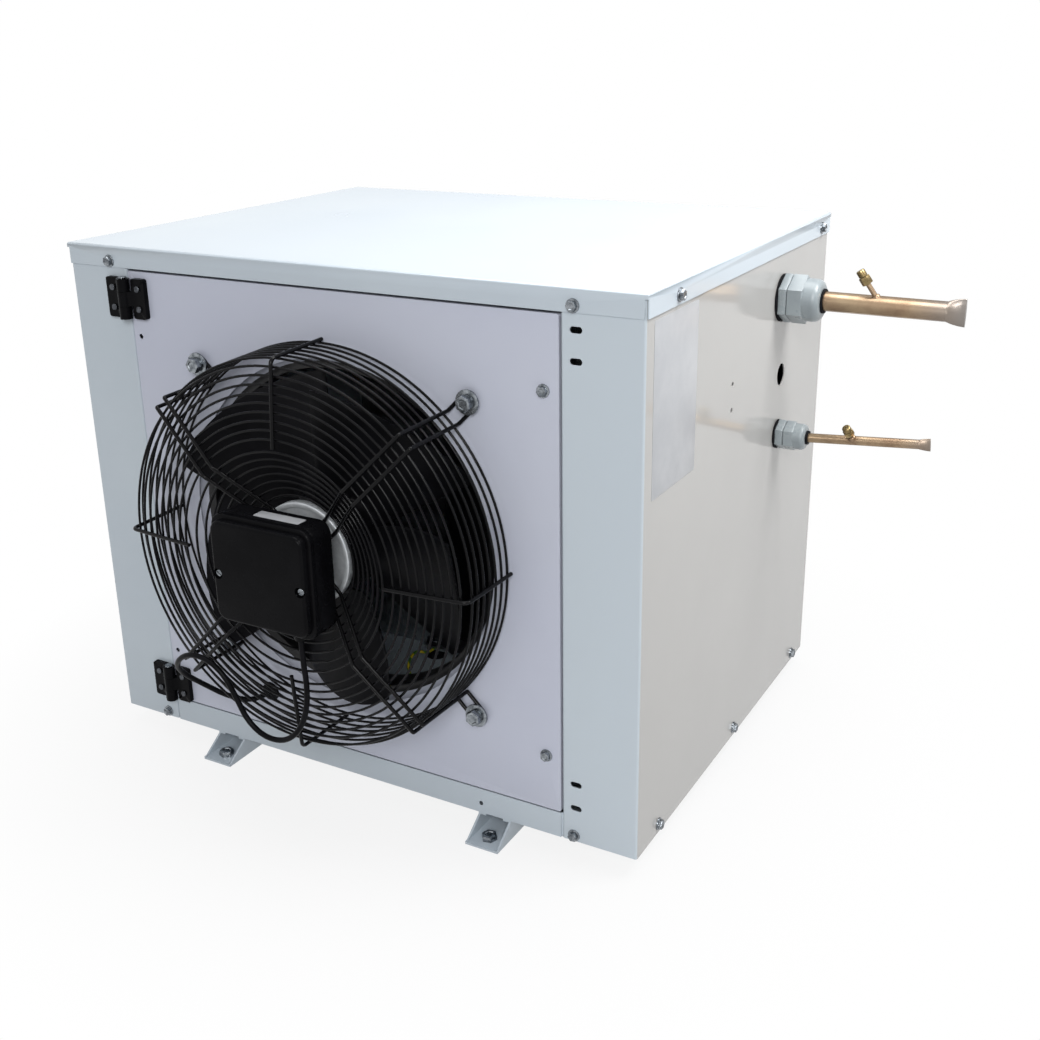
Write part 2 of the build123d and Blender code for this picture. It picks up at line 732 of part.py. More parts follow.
with BuildPart() as motor_stator:
    # Cast flange with a raised rim, and the post that carries the windings and both bearings.
    turned(
        fan_plane,
        [
            (0, core_back + bearing_width),
            (bearing_r + running_gap, core_back + bearing_width),
            (bearing_r + running_gap, core_back),
            (stator_r - 7, core_back),
            (stator_r, core_back + 7),
            (stator_r, flange_back),
            (flange_r, flange_back),
            (flange_r, flange_face - 1),
            (flange_r - 1, flange_face),
            (flange_r - 4, flange_face),
            (flange_r - 6, flange_face - 3),
            (0, flange_face - 3),
        ],
    )
    with BuildSketch(fan_plane.offset(flange_face - 3)):
        with PolarLocations(flange_screw_r, 4, 45):
            Circle(6)
    extrude(amount=3)
    with BuildSketch(fan_plane.offset(flange_face + 1)):
        with PolarLocations(flange_screw_r, 4, 45):
            Circle(screw_hole_r)
    extrude(amount=-14, mode=Mode.SUBTRACT)
    with BuildSketch(fan_plane.offset(core_back)):
        Circle(shaft_r + 1)
    extrude(amount=3 * bearing_width, mode=Mode.SUBTRACT)
motor_stator.part.label = "motor_stator"

with BuildPart() as motor_bearing:
    with BuildSketch(fan_plane.offset(core_back)):
        Circle(bearing_r)
        Circle(shaft_r + running_gap, mode=Mode.SUBTRACT)
    extrude(amount=bearing_width - running_gap)
motor_bearing.part.label = "motor_bearing"

with BuildPart() as motor_screws:
    for angle in guard_bolt_angles:
        at = spoke(angle, guard_hub_depth + rib_wire_r + 0.1, flange_screw_r)
        disc(at, 8.5, 1.2)
        hexagon(at.offset(1.2), screw_head_af, 3.5)
        disc(at, screw_r, -12)
motor_screws.part.label = "motor_screws"

with BuildPart() as rotor:
    # External rotor: a cup over the stator, fixed to the shaft at its closed end.
    turned(
        fan_plane,
        [
            (0, rotor_back),
            (rotor_r - 8, rotor_back),
            (rotor_r, rotor_back + 8),
            (rotor_r, rotor_front),
            (rotor_r - rotor_wall, rotor_front),
            (rotor_r - rotor_wall, rotor_back + rotor_wall + 6),
            (rotor_r - rotor_wall - 6, rotor_back + rotor_wall),
            (0, rotor_back + rotor_wall),
        ],
    )
    disc(fan_plane.offset(rotor_back + rotor_wall), shaft_r, 3 * bearing_width - 4)
rotor.part.label = "rotor"

# ---------------------------------------------------------------- fan blades
# Each blade is lofted through three cambered sections that widen to the tip, where the
# blade also stands further out of the opening.
blade_sections = [
    # radius, chord, pitch in degrees, forward sweep, step outwards, camber
    (rotor_r - 3.0, 71.0, 19.0, 4.0, 4.0, 4.0),
    (98.0, 131.0, 21.5, 6.0, 4.0, 8.0),
    (blade_tip_r + 8.0, 185.0, 28.0, -5.0, 17.0, 8.0),
]
blade_centre = -2.0  # axial middle of the blades, from the door's face


def blade_section(radius, chord, pitch, sweep_by, out, camber):
    """A cambered strip across the blade, on a plane square to the radius."""
    plane = Plane(
        origin=(radius, 0, blade_centre + out),
        x_dir=(0, cos(radians(pitch)), sin(radians(pitch))),
        z_dir=(1, 0, 0),
    )
    with BuildSketch(plane) as strip:
        with BuildLine():
            back = ThreePointArc((-chord / 2 + sweep_by, 0), (sweep_by, camber), (chord / 2 + sweep_by, 0))
            Line(back @ 1, (chord / 2 + sweep_by, blade_thick))
            ThreePointArc(
                (chord / 2 + sweep_by, blade_thick),
                (sweep_by, camber + blade_thick),
                (-chord / 2 + sweep_by, blade_thick),
            )
            Line((-chord / 2 + sweep_by, blade_thick), (-chord / 2 + sweep_by, 0))
        make_face()
    return strip.sketch


with BuildPart() as one_blade:
    loft([blade_section(*section) for section in blade_sections])
    with BuildSketch(Plane.XY.offset(-2 * blade_tip_r)):
        Circle(blade_tip_r)
        Circle(rotor_r + band_wall - 0.6, mode=Mode.SUBTRACT)
    extrude(amount=4 * blade_tip_r, mode=Mode.INTERSECT)

with BuildPart() as fan_blades:
    with BuildSketch(fan_plane.offset(blade_centre - 24)):
        Circle(rotor_r + band_wall)
        Circle(rotor_r + running_gap, mode=Mode.SUBTRACT)
    extrude(amount=48)
    for step in range(blade_count):
        add(spoke(blade_phase + step * 360 / blade_count).location * one_blade.part)
fan_blades.part.label = "fan_blades"

# ---------------------------------------------------------------- terminal box and the motor's lead
lead_x, lead_depth = 20.0, 87.0
lead_exit = floor + fan_height - box_height / 2

with BuildPart() as terminal_box_base:
    with BuildSketch(fan_plane.offset(box_back)):
        RectangleRounded(box_width, box_height, box_corner)
    extrude(amount=box_split - box_back)
    fillet(terminal_box_base.faces().sort_by(Axis.Y)[-1].edges(), 3)
    with BuildSketch(fan_plane.offset(guard_hub_depth + rib_wire_r + 5.5)):
        Circle(box_neck_r - 2)
    extrude(amount=box_back - guard_hub_depth - rib_wire_r - 5.5)
    with BuildSketch(fan_plane.offset(flange_face - 3)):
        Circle(box_neck_r - 8)
    extrude(amount=box_back - flange_face + 3)
    with BuildSketch(fan_plane.offset(box_back + box_wall)):
        RectangleRounded(box_width - 2 * box_wall, box_height - 2 * box_wall, box_corner - box_wall)
    extrude(amount=box_split - box_back, mode=Mode.SUBTRACT)
    with BuildSketch(Plane(origin=(fan_x + lead_x, front - lead_depth, lead_exit + box_wall + 1))):
        Circle(6.0)
    extrude(amount=-3 * box_wall, mode=Mode.SUBTRACT)
terminal_box_base.part.label = "terminal_box_base"

cover_screw_x, cover_screw_z = 44.0, -3.0
with BuildPart() as terminal_box_cover:
    with BuildSketch(fan_plane.offset(box_split + 0.1)):
        RectangleRounded(box_width, box_height, box_corner)
    extrude(amount=box_rim - box_split - 0.1)
    with BuildSketch(fan_plane.offset(box_rim)):
        RectangleRounded(box_width - 6, box_height - 6, box_corner - 2)
    extrude(amount=box_face - box_rim, taper=6)
    fillet(terminal_box_cover.faces().sort_by(Axis.Y)[0].edges(), 2.2)
    with BuildSketch(fan_plane.offset(box_split)):
        RectangleRounded(box_width - 14, box_height - 14, box_corner - 5)
    extrude(amount=box_face - box_split - 3, mode=Mode.SUBTRACT)
    with BuildSketch(fan_plane.offset(box_face + 1)):
        with Locations((-cover_screw_x, cover_screw_z), (cover_screw_x, cover_screw_z)):
            Circle(4.6)
    extrude(amount=-5, mode=Mode.SUBTRACT)
    with BuildSketch(fan_plane.offset(box_face + 1)):
        with Locations((-cover_screw_x, cover_screw_z), (cover_screw_x, cover_screw_z)):
            Circle(1.9)
    extrude(amount=-30, mode=Mode.SUBTRACT)
terminal_box_cover.part.label = "terminal_box_cover"

with BuildPart() as box_screws:
    for side in (-1, 1):
        head = Plane(
            origin=(fan_x + side * cover_screw_x, front - (box_face - 4) - 0.05, fan_z + cover_screw_z),
            x_dir=(1, 0, 0),
            z_dir=(0, -1, 0),
        )
        disc(head, 3.7, 2.2, taper=12)
        disc(head, 1.7, -(box_face - 4 - box_split - 0.1))
box_screws.part.label = "box_screws"

with BuildPart() as box_gland:
    gland_plane = Plane(origin=(fan_x + lead_x, front - lead_depth, lead_exit), x_dir=(1, 0, 0), z_dir=(0, 0, -1))
    disc(gland_plane.offset(-box_wall - 2), 5.8, box_wall + 2)
    hexagon(gland_plane.offset(0.1), 15.0, 4.5)
    disc(gland_plane.offset(4.6), 7.2, 7.5, taper=14)
    with BuildSketch(gland_plane.offset(-box_wall - 3)) as gland_bore:
        Circle(lead_r + 0.1)
    extrude(gland_bore.sketch, amount=30, mode=Mode.SUBTRACT)
box_gland.part.label = "box_gland"

# The lead runs down the face of the guard, loops round an arm's shoulder and enters the door.
lead_points = [
    (20.0, 87.0, 196.0),
    (20.0, 87.0, 170.0),
    (22.0, 88.0, 140.0),
    (18.0, 89.0, 112.0),
    (6.0, 90.0, 91.0),
    (-12.0, 89.0, 79.0),
    (-34.0, 88.0, 78.0),
    (-52.0, 88.0, 90.0),
    (-62.0, 89.0, 112.0),
    (-74.0, 90.0, 134.0),
    (-94.0, 91.0, 146.0),
    (-118.0, 90.0, 143.0),
    (-138.0, 84.0, 126.0),
    (-148.0, 68.0, 106.0),
    (-142.0, 48.0, 86.0),
    (-124.0, 34.0, 70.0),
    (-106.0, 24.0, 65.0),
    (-98.0, 12.0, 66.0),
    (-98.0, -6.0, 66.0),
]


lead_route = [(x, front - out, floor + level) for x, out, level in lead_points]
lead_route[0] = (fan_x + lead_x, front - lead_depth, lead_exit - 2.0)
lead_route[1] = (fan_x + lead_x, front - lead_depth, lead_exit - 30.0)
lead_radii = fair_radii(lead_route)
print("lead radii", [round(radius, 1) for radius in lead_radii])
with BuildPart() as motor_lead:
    lead_path = tube_path(lead_route, lead_radii)
    with BuildSketch(Plane(origin=lead_path.line @ 0, z_dir=lead_path.line % 0)) as lead_round:
        Circle(lead_r)
    sweep(lead_round.sketch, path=lead_path.line)
report_tube("motor_lead", motor_lead, lead_path, lead_r)
motor_lead.part.label = "motor_lead"

with BuildPart() as lead_grommet:
    turned(
        front_plane(grommet_x, floor + grommet_level),
        [
            (lead_r + 0.1, -5),
            (grommet_r + 2.2, -4),
            (grommet_r + 2.2, -sheet - 0.1),
            (grommet_r - 0.1, -sheet - 0.1),
            (grommet_r - 0.1, 0.1),
            (grommet_r + 2.2, 0.1),
            (grommet_r + 1.6, 2.4),
            (lead_r + 0.1, 3.0),
        ],
    )
lead_grommet.part.label = "lead_grommet"

# ---------------------------------------------------------------- condenser coil
coil_bottom = floor + sheet + 0.2
coil_top = roof_under - 4.0
coil_mid = (coil_front + coil_back) / 2
coil_rows = (coil_mid - 11.0, coil_mid + 11.0)
coil_pitch = (coil_top - coil_bottom) / coil_tubes
coil_levels = [coil_bottom + (step + 0.5) * coil_pitch for step in range(coil_tubes)]

with BuildPart() as coil_fins:
    with BuildSketch(Plane.XY.offset(coil_bottom)):
        with Locations((0, coil_mid)):
            Rectangle(2 * coil_half, coil_back - coil_front)
        # Shallow slots on both faces leave the edges of the fins standing.
        with GridLocations(fin_pitch, 0, int(2 * coil_half / fin_pitch) - 1, 1) as fin_places:
            slot_x = [place.position.X for place in fin_places.locations]
        for x in slot_x:
            with Locations((x, coil_front), (x, coil_back)):
                Rectangle(fin_pitch * 0.72, 2 * fin_groove, mode=Mode.SUBTRACT)
    extrude(amount=coil_top - coil_bottom)
coil_fins.part.label = "coil_fins"

plate_x = coil_half + 0.1
plate_flange = half_w - rear_return + 0.8 * rear_return
with BuildPart() as coil_end_plates:
    for side in (-1, 1):
        outline = [
            (side * plate_x, coil_front - 4),
            (side * plate_x, rear - sheet - fit_gap),
            (side * plate_flange, rear - sheet - fit_gap),
        ]
        with BuildSketch(Plane.XY.offset(coil_bottom)) as plate:
            with BuildLine():
                FilletPolyline(*outline, radius=bend)
                offset(amount=coil_plate, side=Side.RIGHT if side > 0 else Side.LEFT)
            make_face()
        extrude(amount=coil_top - coil_bottom)
    # The flanges stop between the base pan's lip and the roof's.
    for low, high in ((floor, floor + pan_lip + 1), (roof_z - roof_lip - 1, roof_z)):
        with BuildSketch(Plane.XY.offset(low)):
            with Locations((0, rear)):
                Rectangle(case_width, 4 * (sheet + fit_gap))
        extrude(amount=high - low, mode=Mode.SUBTRACT)
    drill([rear_plane(side * rear_screw_x, z) for side in (-1, 1) for z in coil_screw_z], screw_hole_r, 8)
coil_end_plates.part.label = "coil_end_plates"

with BuildPart() as coil_screws:
    for side in (-1, 1):
        for z in coil_screw_z:
            flange_screw(rear_plane(side * rear_screw_x, z))
coil_screws.part.label = "coil_screws"

header_reach = 20.0
tube_seat_x = plate_x + coil_plate + 0.05
with BuildPart() as coil_tube_ends:
    # Hairpins at the left, return bends at the right; the free ends join the headers.
    # Each bend seats on its end plate's outer face.
    for row in coil_rows:
        for side, first in ((-1, 0), (1, 1)):
            for step in range(first, coil_tubes - 1, 2):
                low, high = coil_levels[step], coil_levels[step + 1]
                reach = side * (plate_x + header_reach)
                with BuildLine(mode=Mode.PRIVATE) as bend_path:
                    FilletPolyline(
                        (side * tube_seat_x, row, low),
                        (reach, row, low),
                        (reach, row, high),
                        (side * tube_seat_x, row, high),
                        radius=10,
                    )
                with BuildSketch(Plane(origin=bend_path.line @ 0, z_dir=bend_path.line % 0)) as section:
                    RegularPolygon(coil_tube_r, 6)
                sweep(section.sketch, path=bend_path.line)
coil_tube_ends.part.label = "coil_tube_ends"

# Headers join the free ends of both rows at the right: gas at the top, liquid at the bottom.
header_x = plate_x + 13.0
with BuildPart() as coil_headers:
    for z in (coil_levels[0], coil_levels[-1]):
        for row in coil_rows:
            with BuildSketch(Plane.YZ.offset(tube_seat_x)):
                with Locations((row, z)):
                    Circle(coil_tube_r)
            extrude(amount=header_x - tube_seat_x)
        with BuildSketch(Plane.XZ.offset(-(coil_rows[1] + 8))):
            with Locations((header_x, z)):
                Circle(discharge_r)
        extrude(amount=coil_rows[1] - coil_rows[0] + 24)
coil_headers.part.label = "coil_headers"

# ---------------------------------------------------------------- compressor
comp_base = floor + sheet + comp_foot_gap
comp_shell_base = comp_base + 3.0
comp_dome = 26.0
comp_feet = 64.0  # half the square of the feet's bolts
weld_z = comp_shell_base + comp_height * 0.48

with BuildPart() as compressor_shell:
    turned(
        Plane(origin=(comp_x, comp_y, comp_shell_base)),
        [
            (0, 0),
            (comp_r - 12, 0),
            (comp_r, 12),
            (comp_r, comp_height - comp_dome - 6),
            (comp_r - 6, comp_height - comp_dome + 8),
            (comp_r * 0.62, comp_height - 5),
            (comp_r * 0.3, comp_height),
            (0, comp_height),
        ],
    )
    # The two halves lap at a welded seam.
    turned(
        Plane(origin=(comp_x, comp_y, weld_z)),
        [(comp_r - 2, 0), (comp_r + 2.2, 2), (comp_r + 2.2, 8), (comp_r - 2, 11)],
    )
    # Stubs for the suction and discharge pipes.
    for angle, level, radius in (
        (suction_stub_angle, suction_stub_level, suction_r),
        (discharge_stub_angle, discharge_stub_level, discharge_r),
    ):
        stub = Plane(
            origin=(comp_x, comp_y, comp_shell_base + level),
            x_dir=(-sin(radians(angle)), cos(radians(angle)), 0),
            z_dir=(cos(radians(angle)), sin(radians(angle)), 0),
        )
        disc(stub.offset(comp_r - 8), radius + 2.5, 20.0)
compressor_shell.part.label = "compressor_shell"

with BuildPart() as compressor_base:
    with BuildSketch(Plane.XY.offset(comp_base)):
        with Locations((comp_x, comp_y)):
            RectangleRounded(2 * comp_feet + 28, 2 * comp_feet + 28, 14)
            Circle(comp_r * 0.45, mode=Mode.SUBTRACT)
            with GridLocations(2 * comp_feet, 2 * comp_feet, 2, 2):
                Circle(8.2, mode=Mode.SUBTRACT)
            for angle in (0, 90, 180, 270):
                with PolarLocations(comp_feet + 36, 1, angle):
                    Circle(30, mode=Mode.SUBTRACT)
    extrude(amount=3.0)
compressor_base.part.label = "compressor_base"

foot_places = [(comp_x + sx * comp_feet, comp_y + sy * comp_feet) for sx in (-1, 1) for sy in (-1, 1)]
with BuildPart() as compressor_grommets:
    for x, y in foot_places:
        turned(
            Plane(origin=(x, y, floor + sheet)),
            [
                (4.2, 0),
                (12, 0),
                (10.5, 6),
                (12, comp_foot_gap),
                (8.0, comp_foot_gap),
                (8.0, comp_foot_gap + 3.2),
                (11, comp_foot_gap + 3.2),
                (10, comp_foot_gap + 7),
                (4.2, comp_foot_gap + 7),
            ],
        )
compressor_grommets.part.label = "compressor_grommets"

with BuildPart() as compressor_bolts:
    for x, y in foot_places:
        top = Plane(origin=(x, y, floor + sheet + comp_foot_gap + 7.1))
        disc(top, 10.0, 1.5)
        hexagon(top.offset(1.5), 10.0, 4.0)
        disc(top, 4.0, -(comp_foot_gap + 7.1))
compressor_bolts.part.label = "compressor_bolts"

cover_angle = -20.0
cover_plane_side = Plane(
    origin=(
        comp_x + (comp_r + 2.4) * cos(radians(cover_angle)),
        comp_y + (comp_r + 2.4) * sin(radians(cover_angle)),
        weld_z + 62,
    ),
    x_dir=(-sin(radians(cover_angle)), cos(radians(cover_angle)), 0),
    z_dir=(cos(radians(cover_angle)), sin(radians(cover_angle)), 0),
)
with BuildPart() as compressor_terminal_cover:
    with BuildSketch(cover_plane_side.offset(-5)):
        RectangleRounded(64, 52, 9)
    extrude(amount=31, taper=4)
    fillet(compressor_terminal_cover.faces().sort_by(Axis(cover_plane_side.origin, cover_plane_side.z_dir))[-1].edges(), 3)
    with BuildSketch(Plane(origin=(comp_x, comp_y, comp_shell_base))):
        Circle(comp_r + 0.2)
    extrude(amount=comp_height, mode=Mode.SUBTRACT)
compressor_terminal_cover.part.label = "compressor_terminal_cover"

# ---------------------------------------------------------------- baffle beside the compressor
baffle_left, baffle_right = -165.0, -84.0
baffle_y, baffle_height, baffle_foot = 35.0, 120.0, 20.0
with BuildPart() as air_baffle:
    baffle_side = Plane(origin=(baffle_left, baffle_y, floor + sheet), x_dir=(0, 1, 0), z_dir=(1, 0, 0))
    with BuildSketch(baffle_side) as baffle_profile:
        with BuildLine():
            FilletPolyline((baffle_foot, 0), (0, 0), (0, baffle_height), (12, baffle_height), radius=bend)
            offset(amount=sheet, side=Side.RIGHT)
        make_face()
    extrude(baffle_profile.sketch, amount=baffle_right - baffle_left)
air_baffle.part.label = "air_baffle"

# ---------------------------------------------------------------- receiver and drier
tank_base = floor + sheet
with BuildPart() as liquid_receiver:
    turned(
        Plane(origin=(tank_x, tank_y, tank_base)),
        [
            (0, 16),
            (tank_r - 20, 16),
            (tank_r - 7, 21),
            (tank_r, 32),
            (tank_r, tank_height - 16),
            (tank_r - 7, tank_height - 5),
            (tank_r - 20, tank_height),
            (0, tank_height),
        ],
    )
    # Foot ring, inlet and outlet spuds.
    with BuildSketch(Plane(origin=(tank_x, tank_y, tank_base))):
        Circle(tank_r - 8)
        Circle(tank_r - 11, mode=Mode.SUBTRACT)
    extrude(amount=22)
    disc(Plane(origin=(tank_x, tank_y - 14, tank_base + tank_height - 8)), liquid_r + 3, 18)
    disc(Plane(origin=(tank_x, tank_y + 14, tank_base + tank_height - 8)), liquid_r + 3, 18)
liquid_receiver.part.label = "liquid_receiver"

drier_base = floor + 150.0
with BuildPart() as filter_drier:
    turned(
        Plane(origin=(drier_x, drier_y, drier_base)),
        [
            (0, 0),
            (liquid_r + 2, 0),
            (liquid_r + 2, 9),
            (drier_r, 20),
            (drier_r, drier_length - 20),
            (liquid_r + 2, drier_length - 9),
            (liquid_r + 2, drier_length),
            (0, drier_length),
        ],
    )
filter_drier.part.label = "filter_drier"


# ---------------------------------------------------------------- pipes
def pipe(points, radius, bends):
    """A pipe of straight runs and bends, added to the active part."""
    wire(tube_path(points, bends), radius)


def pinched_end(plane, radius, width, length):
    """The tube's end, squeezed flat and wider."""
    with BuildSketch(plane) as mouth:
        Circle(radius)
    with BuildSketch(plane.offset(length * 0.55)) as squeezed:
        Ellipse(width / 2 * 0.94, radius * 0.42)
    with BuildSketch(plane.offset(length)) as tip:
        Ellipse(width / 2, radius * 0.3)
    loft([mouth.sketch, squeezed.sketch, tip.sketch])


pinch_length = 16.0
stub_level = comp_shell_base + suction_stub_level
stub_reach = comp_r + 12.1
suction_in = (
    comp_x + stub_reach * cos(radians(suction_stub_angle)),
    comp_y + stub_reach * sin(radians(suction_stub_angle)),
    stub_level,
)
suction_run = 46.0
suction_turn = (
    comp_x + (stub_reach + suction_run) * cos(radians(suction_stub_angle)),
    comp_y + (stub_reach + suction_run) * sin(radians(suction_stub_angle)),
    stub_level,
)
with BuildPart() as suction_pipe:
    pipe(
        [
            (half_w + suction_reach - pinch_length, suction_y, suction_z),
            (suction_turn[0], suction_y, suction_z),
            suction_turn,
            suction_in,
        ],
        suction_r,
        28.0,
    )
    pinched_end(
        Plane(origin=(half_w + suction_reach - pinch_length, suction_y, suction_z), x_dir=(0, 0, 1), z_dir=(1, 0, 0)),
        suction_r,
        26.0,
        pinch_length,
    )
suction_pipe.part.label = "suction_pipe"

liquid_tip = (half_w + liquid_reach, liquid_y, liquid_z + 9.0)
liquid_knee = (half_w + 34.0, liquid_y, liquid_z)
liquid_slope = atan2(liquid_tip[2] - liquid_knee[2], liquid_tip[0] - liquid_knee[0])
liquid_pinch = 10.0
liquid_end = (
    liquid_tip[0] - liquid_pinch * cos(liquid_slope),
    liquid_y,
    liquid_tip[2] - liquid_pinch * sin(liquid_slope),
)
with BuildPart() as liquid_pipe:
    pipe(
        [
            liquid_end,
            liquid_knee,
            (drier_x, liquid_y, liquid_z),
            (drier_x, drier_y, liquid_z - 30.0),
            (drier_x, drier_y, drier_base + drier_length + 0.1),
        ],
        liquid_r,
        [30.0, 14.0, 11.0],
    )
    pinched_end(
        Plane(origin=liquid_end, x_dir=(-sin(liquid_slope), 0, cos(liquid_slope)),
              z_dir=(cos(liquid_slope), 0, sin(liquid_slope))),
        liquid_r,
        12.5,
        liquid_pinch,
    )
liquid_pipe.part.label = "liquid_pipe"

spud_top = tank_base + tank_height + 10.1
with BuildPart() as receiver_pipe:
    # From the receiver's outlet down to the drier's lower end.
    pipe(
        [
            (tank_x, tank_y - 14, spud_top),
            (tank_x, tank_y - 14, spud_top + 26),
            (tank_x + 4, tank_y - 62, spud_top + 26),
            (tank_x + 20, tank_y - 62, drier_base - 34),
            (drier_x, drier_y, drier_base - 34),
            (drier_x, drier_y, drier_base - 0.1),
        ],
        liquid_r,
        12.0,
    )
receiver_pipe.part.label = "receiver_pipe"

header_front = coil_rows[0] - 16.1
with BuildPart() as condensate_pipe:
    # From the coil's lower header up to the receiver's inlet.
    pipe(
        [
            (header_x, header_front, coil_levels[0]),
            (header_x, header_front - 16, coil_levels[0]),
            (header_x - 26, header_front - 16, coil_levels[0] + 60),
            (header_x - 26, tank_y + 14, spud_top + 34),
            (tank_x, tank_y + 14, spud_top + 34),
            (tank_x, tank_y + 14, spud_top),
        ],
        liquid_r,
        [9.0, 14.0, 14.0, 14.0],
    )
condensate_pipe.part.label = "condensate_pipe"

discharge_level = comp_shell_base + discharge_stub_level
discharge_in = Vector(
    comp_x + stub_reach * cos(radians(discharge_stub_angle)),
    comp_y + stub_reach * sin(radians(discharge_stub_angle)),
    discharge_level,
)
discharge_run = 20.0
discharge_turn = (
    discharge_in.X + discharge_run * cos(radians(discharge_stub_angle)),
    discharge_in.Y + discharge_run * sin(radians(discharge_stub_angle)),
)
with BuildPart() as discharge_pipe:
    # From the compressor up and across to the coil's upper header.
    pipe(
        [
            tuple(discharge_in),
            (*discharge_turn, discharge_level),
            (*discharge_turn, coil_levels[-1]),
            (header_x, header_front - 14, coil_levels[-1]),
            (header_x, header_front, coil_levels[-1]),
        ],
        discharge_r,
        [14.0, 24.0, 12.0],
    )
discharge_pipe.part.label = "discharge_pipe"

# ---------------------------------------------------------------- glands on the right side
gland_sizes = {
    # name: place on the wall, pipe radius, thread radius, across flats, nut length, dome length
    "suction": (right_plane(suction_y, suction_z), suction_r, 18.0, 41.0, 15.0, 15.0),
    "liquid": (right_plane(liquid_y, liquid_z), liquid_r, 10.0, 26.0, 11.0, 10.0),
}
gasket_thick = 2.0
collar_height = 8.0


def gland_body(plane, pipe_r, thread_r, across, nut, dome):
    """Hexagonal collar with a thread through the wall and one under the dome nut."""
    hexagon(plane.offset(gasket_thick), across, collar_height)
    disc(plane.offset(-14), thread_r, 14 + gasket_thick)
    disc(plane.offset(gasket_thick + collar_height), thread_r - 1.5, nut)
    with BuildSketch(plane.offset(-20)) as bore:
        Circle(pipe_r + 0.4)
    extrude(bore.sketch, amount=80, mode=Mode.SUBTRACT)


def gland_nut(plane, pipe_r, thread_r, across, nut, dome):
    """Dome nut with a hexagonal skirt and a rounded nose."""
    start = gasket_thick + collar_height + 0.6
    base = plane.offset(start)
    nose_r = pipe_r + 3.2
    hexagon(base, across, nut * 0.55)
    turned(
        base,
        [
            (thread_r - 1.2, 0),
            (across / 2, 0),
            (across / 2, nut),
            (nose_r + 0.94 * (across / 2 - nose_r), nut + dome * 0.55),
            (nose_r + 0.7 * (across / 2 - nose_r), nut + dome * 0.88),
            (nose_r, nut + dome),
            (pipe_r + 2.2, nut + dome),
            (pipe_r + 2.2, nut + 2),
            (thread_r - 1.2, nut + 2),
        ],
    )
    with BuildSketch(base) as thread:
        Circle(thread_r - 1.2)
    extrude(thread.sketch, amount=nut + 2, mode=Mode.SUBTRACT)


with BuildPart() as suction_gland_body:
    gland_body(*gland_sizes["suction"])
suction_gland_body.part.label = "suction_gland_body"

with BuildPart() as suction_gland_nut:
    gland_nut(*gland_sizes["suction"])
suction_gland_nut.part.label = "suction_gland_nut"

with BuildPart() as liquid_gland_body:
    gland_body(*gland_sizes["liquid"])
liquid_gland_body.part.label = "liquid_gland_body"

with BuildPart() as liquid_gland_nut:
    gland_nut(*gland_sizes["liquid"])
liquid_gland_nut.part.label = "liquid_gland_nut"

with BuildPart() as gland_seals:
    for plane, pipe_r, thread_r, across, nut, dome in gland_sizes.values():
        start = gasket_thick + collar_height + nut + 0.7
        turned(
            plane.offset(start),
            [
                (pipe_r + 0.1, 0),
                (pipe_r + 2.1, 0),
                (pipe_r + 2.1, dome + 1.4),
                (pipe_r + 0.1, dome + 2.4),
            ],
        )
gland_seals.part.label = "gland_seals"

with BuildPart() as gland_gaskets:
    for plane, pipe_r, thread_r, across, nut, dome in gland_sizes.values():
        turned(
            plane,
            [
                (thread_r + 0.1, 0.05),
                (across / 2 + 1.6, 0.05),
                (across / 2 + 1.2, gasket_thick - 0.05),
                (thread_r + 0.1, gasket_thick - 0.05),
            ],
        )
gland_gaskets.part.label = "gland_gaskets"

with BuildPart() as gland_locknuts:
    for plane, pipe_r, thread_r, across, nut, dome in gland_sizes.values():
        hexagon(plane.offset(-sheet - 5.1), across + 2, 5.0)
        with BuildSketch(plane.offset(-sheet - 6)) as bore:
            Circle(thread_r + 0.1)
        extrude(bore.sketch, amount=8, mode=Mode.SUBTRACT)
gland_locknuts.part.label = "gland_locknuts"

# ---------------------------------------------------------------- service valves on the pipes
suction_valve_x = half_w + 95.0
liquid_valve_x = half_w + 77.0
liquid_valve_z = liquid_z + (liquid_valve_x - liquid_knee[0]) * tan(liquid_slope)
suction_lean = Vector(-20.0, -4.0, 30.0).normalized()
liquid_lean = Vector(-6.0, -16.0, 20.0).normalized()
suction_seat = Vector(suction_valve_x, suction_y, suction_z)
liquid_seat = Vector(liquid_valve_x, liquid_y, liquid_valve_z)
stem_r, cap_r = 3.2, 4.4
suction_stem, liquid_stem = 30.0, 15.0

with BuildPart() as service_valves:
    for seat, lean, stem, pipe_r in (
        (suction_seat, suction_lean, suction_stem, suction_r),
        (liquid_seat, liquid_lean, liquid_stem, liquid_r),
    ):
        base = Plane(origin=seat, z_dir=lean)
        disc(base, stem_r, stem - 4)
        disc(base.offset(pipe_r * 0.6), stem_r + 1.3, pipe_r * 0.4 + 3.5)
        disc(base.offset(stem - 6), stem_r - 0.7, 9)
    # The saddle end follows the pipe.
    with BuildSketch(right_plane(suction_y, suction_z, half_w + 50)) as suction_round:
        Circle(suction_r + 0.05)
    extrude(suction_round.sketch, amount=90, mode=Mode.SUBTRACT)
    with BuildSketch(
        Plane(origin=liquid_knee, x_dir=(0, 1, 0), z_dir=(cos(liquid_slope), 0, sin(liquid_slope)))
    ) as liquid_round:
        Circle(liquid_r + 0.05)
    extrude(liquid_round.sketch, amount=90, mode=Mode.SUBTRACT)
service_valves.part.label = "service_valves"

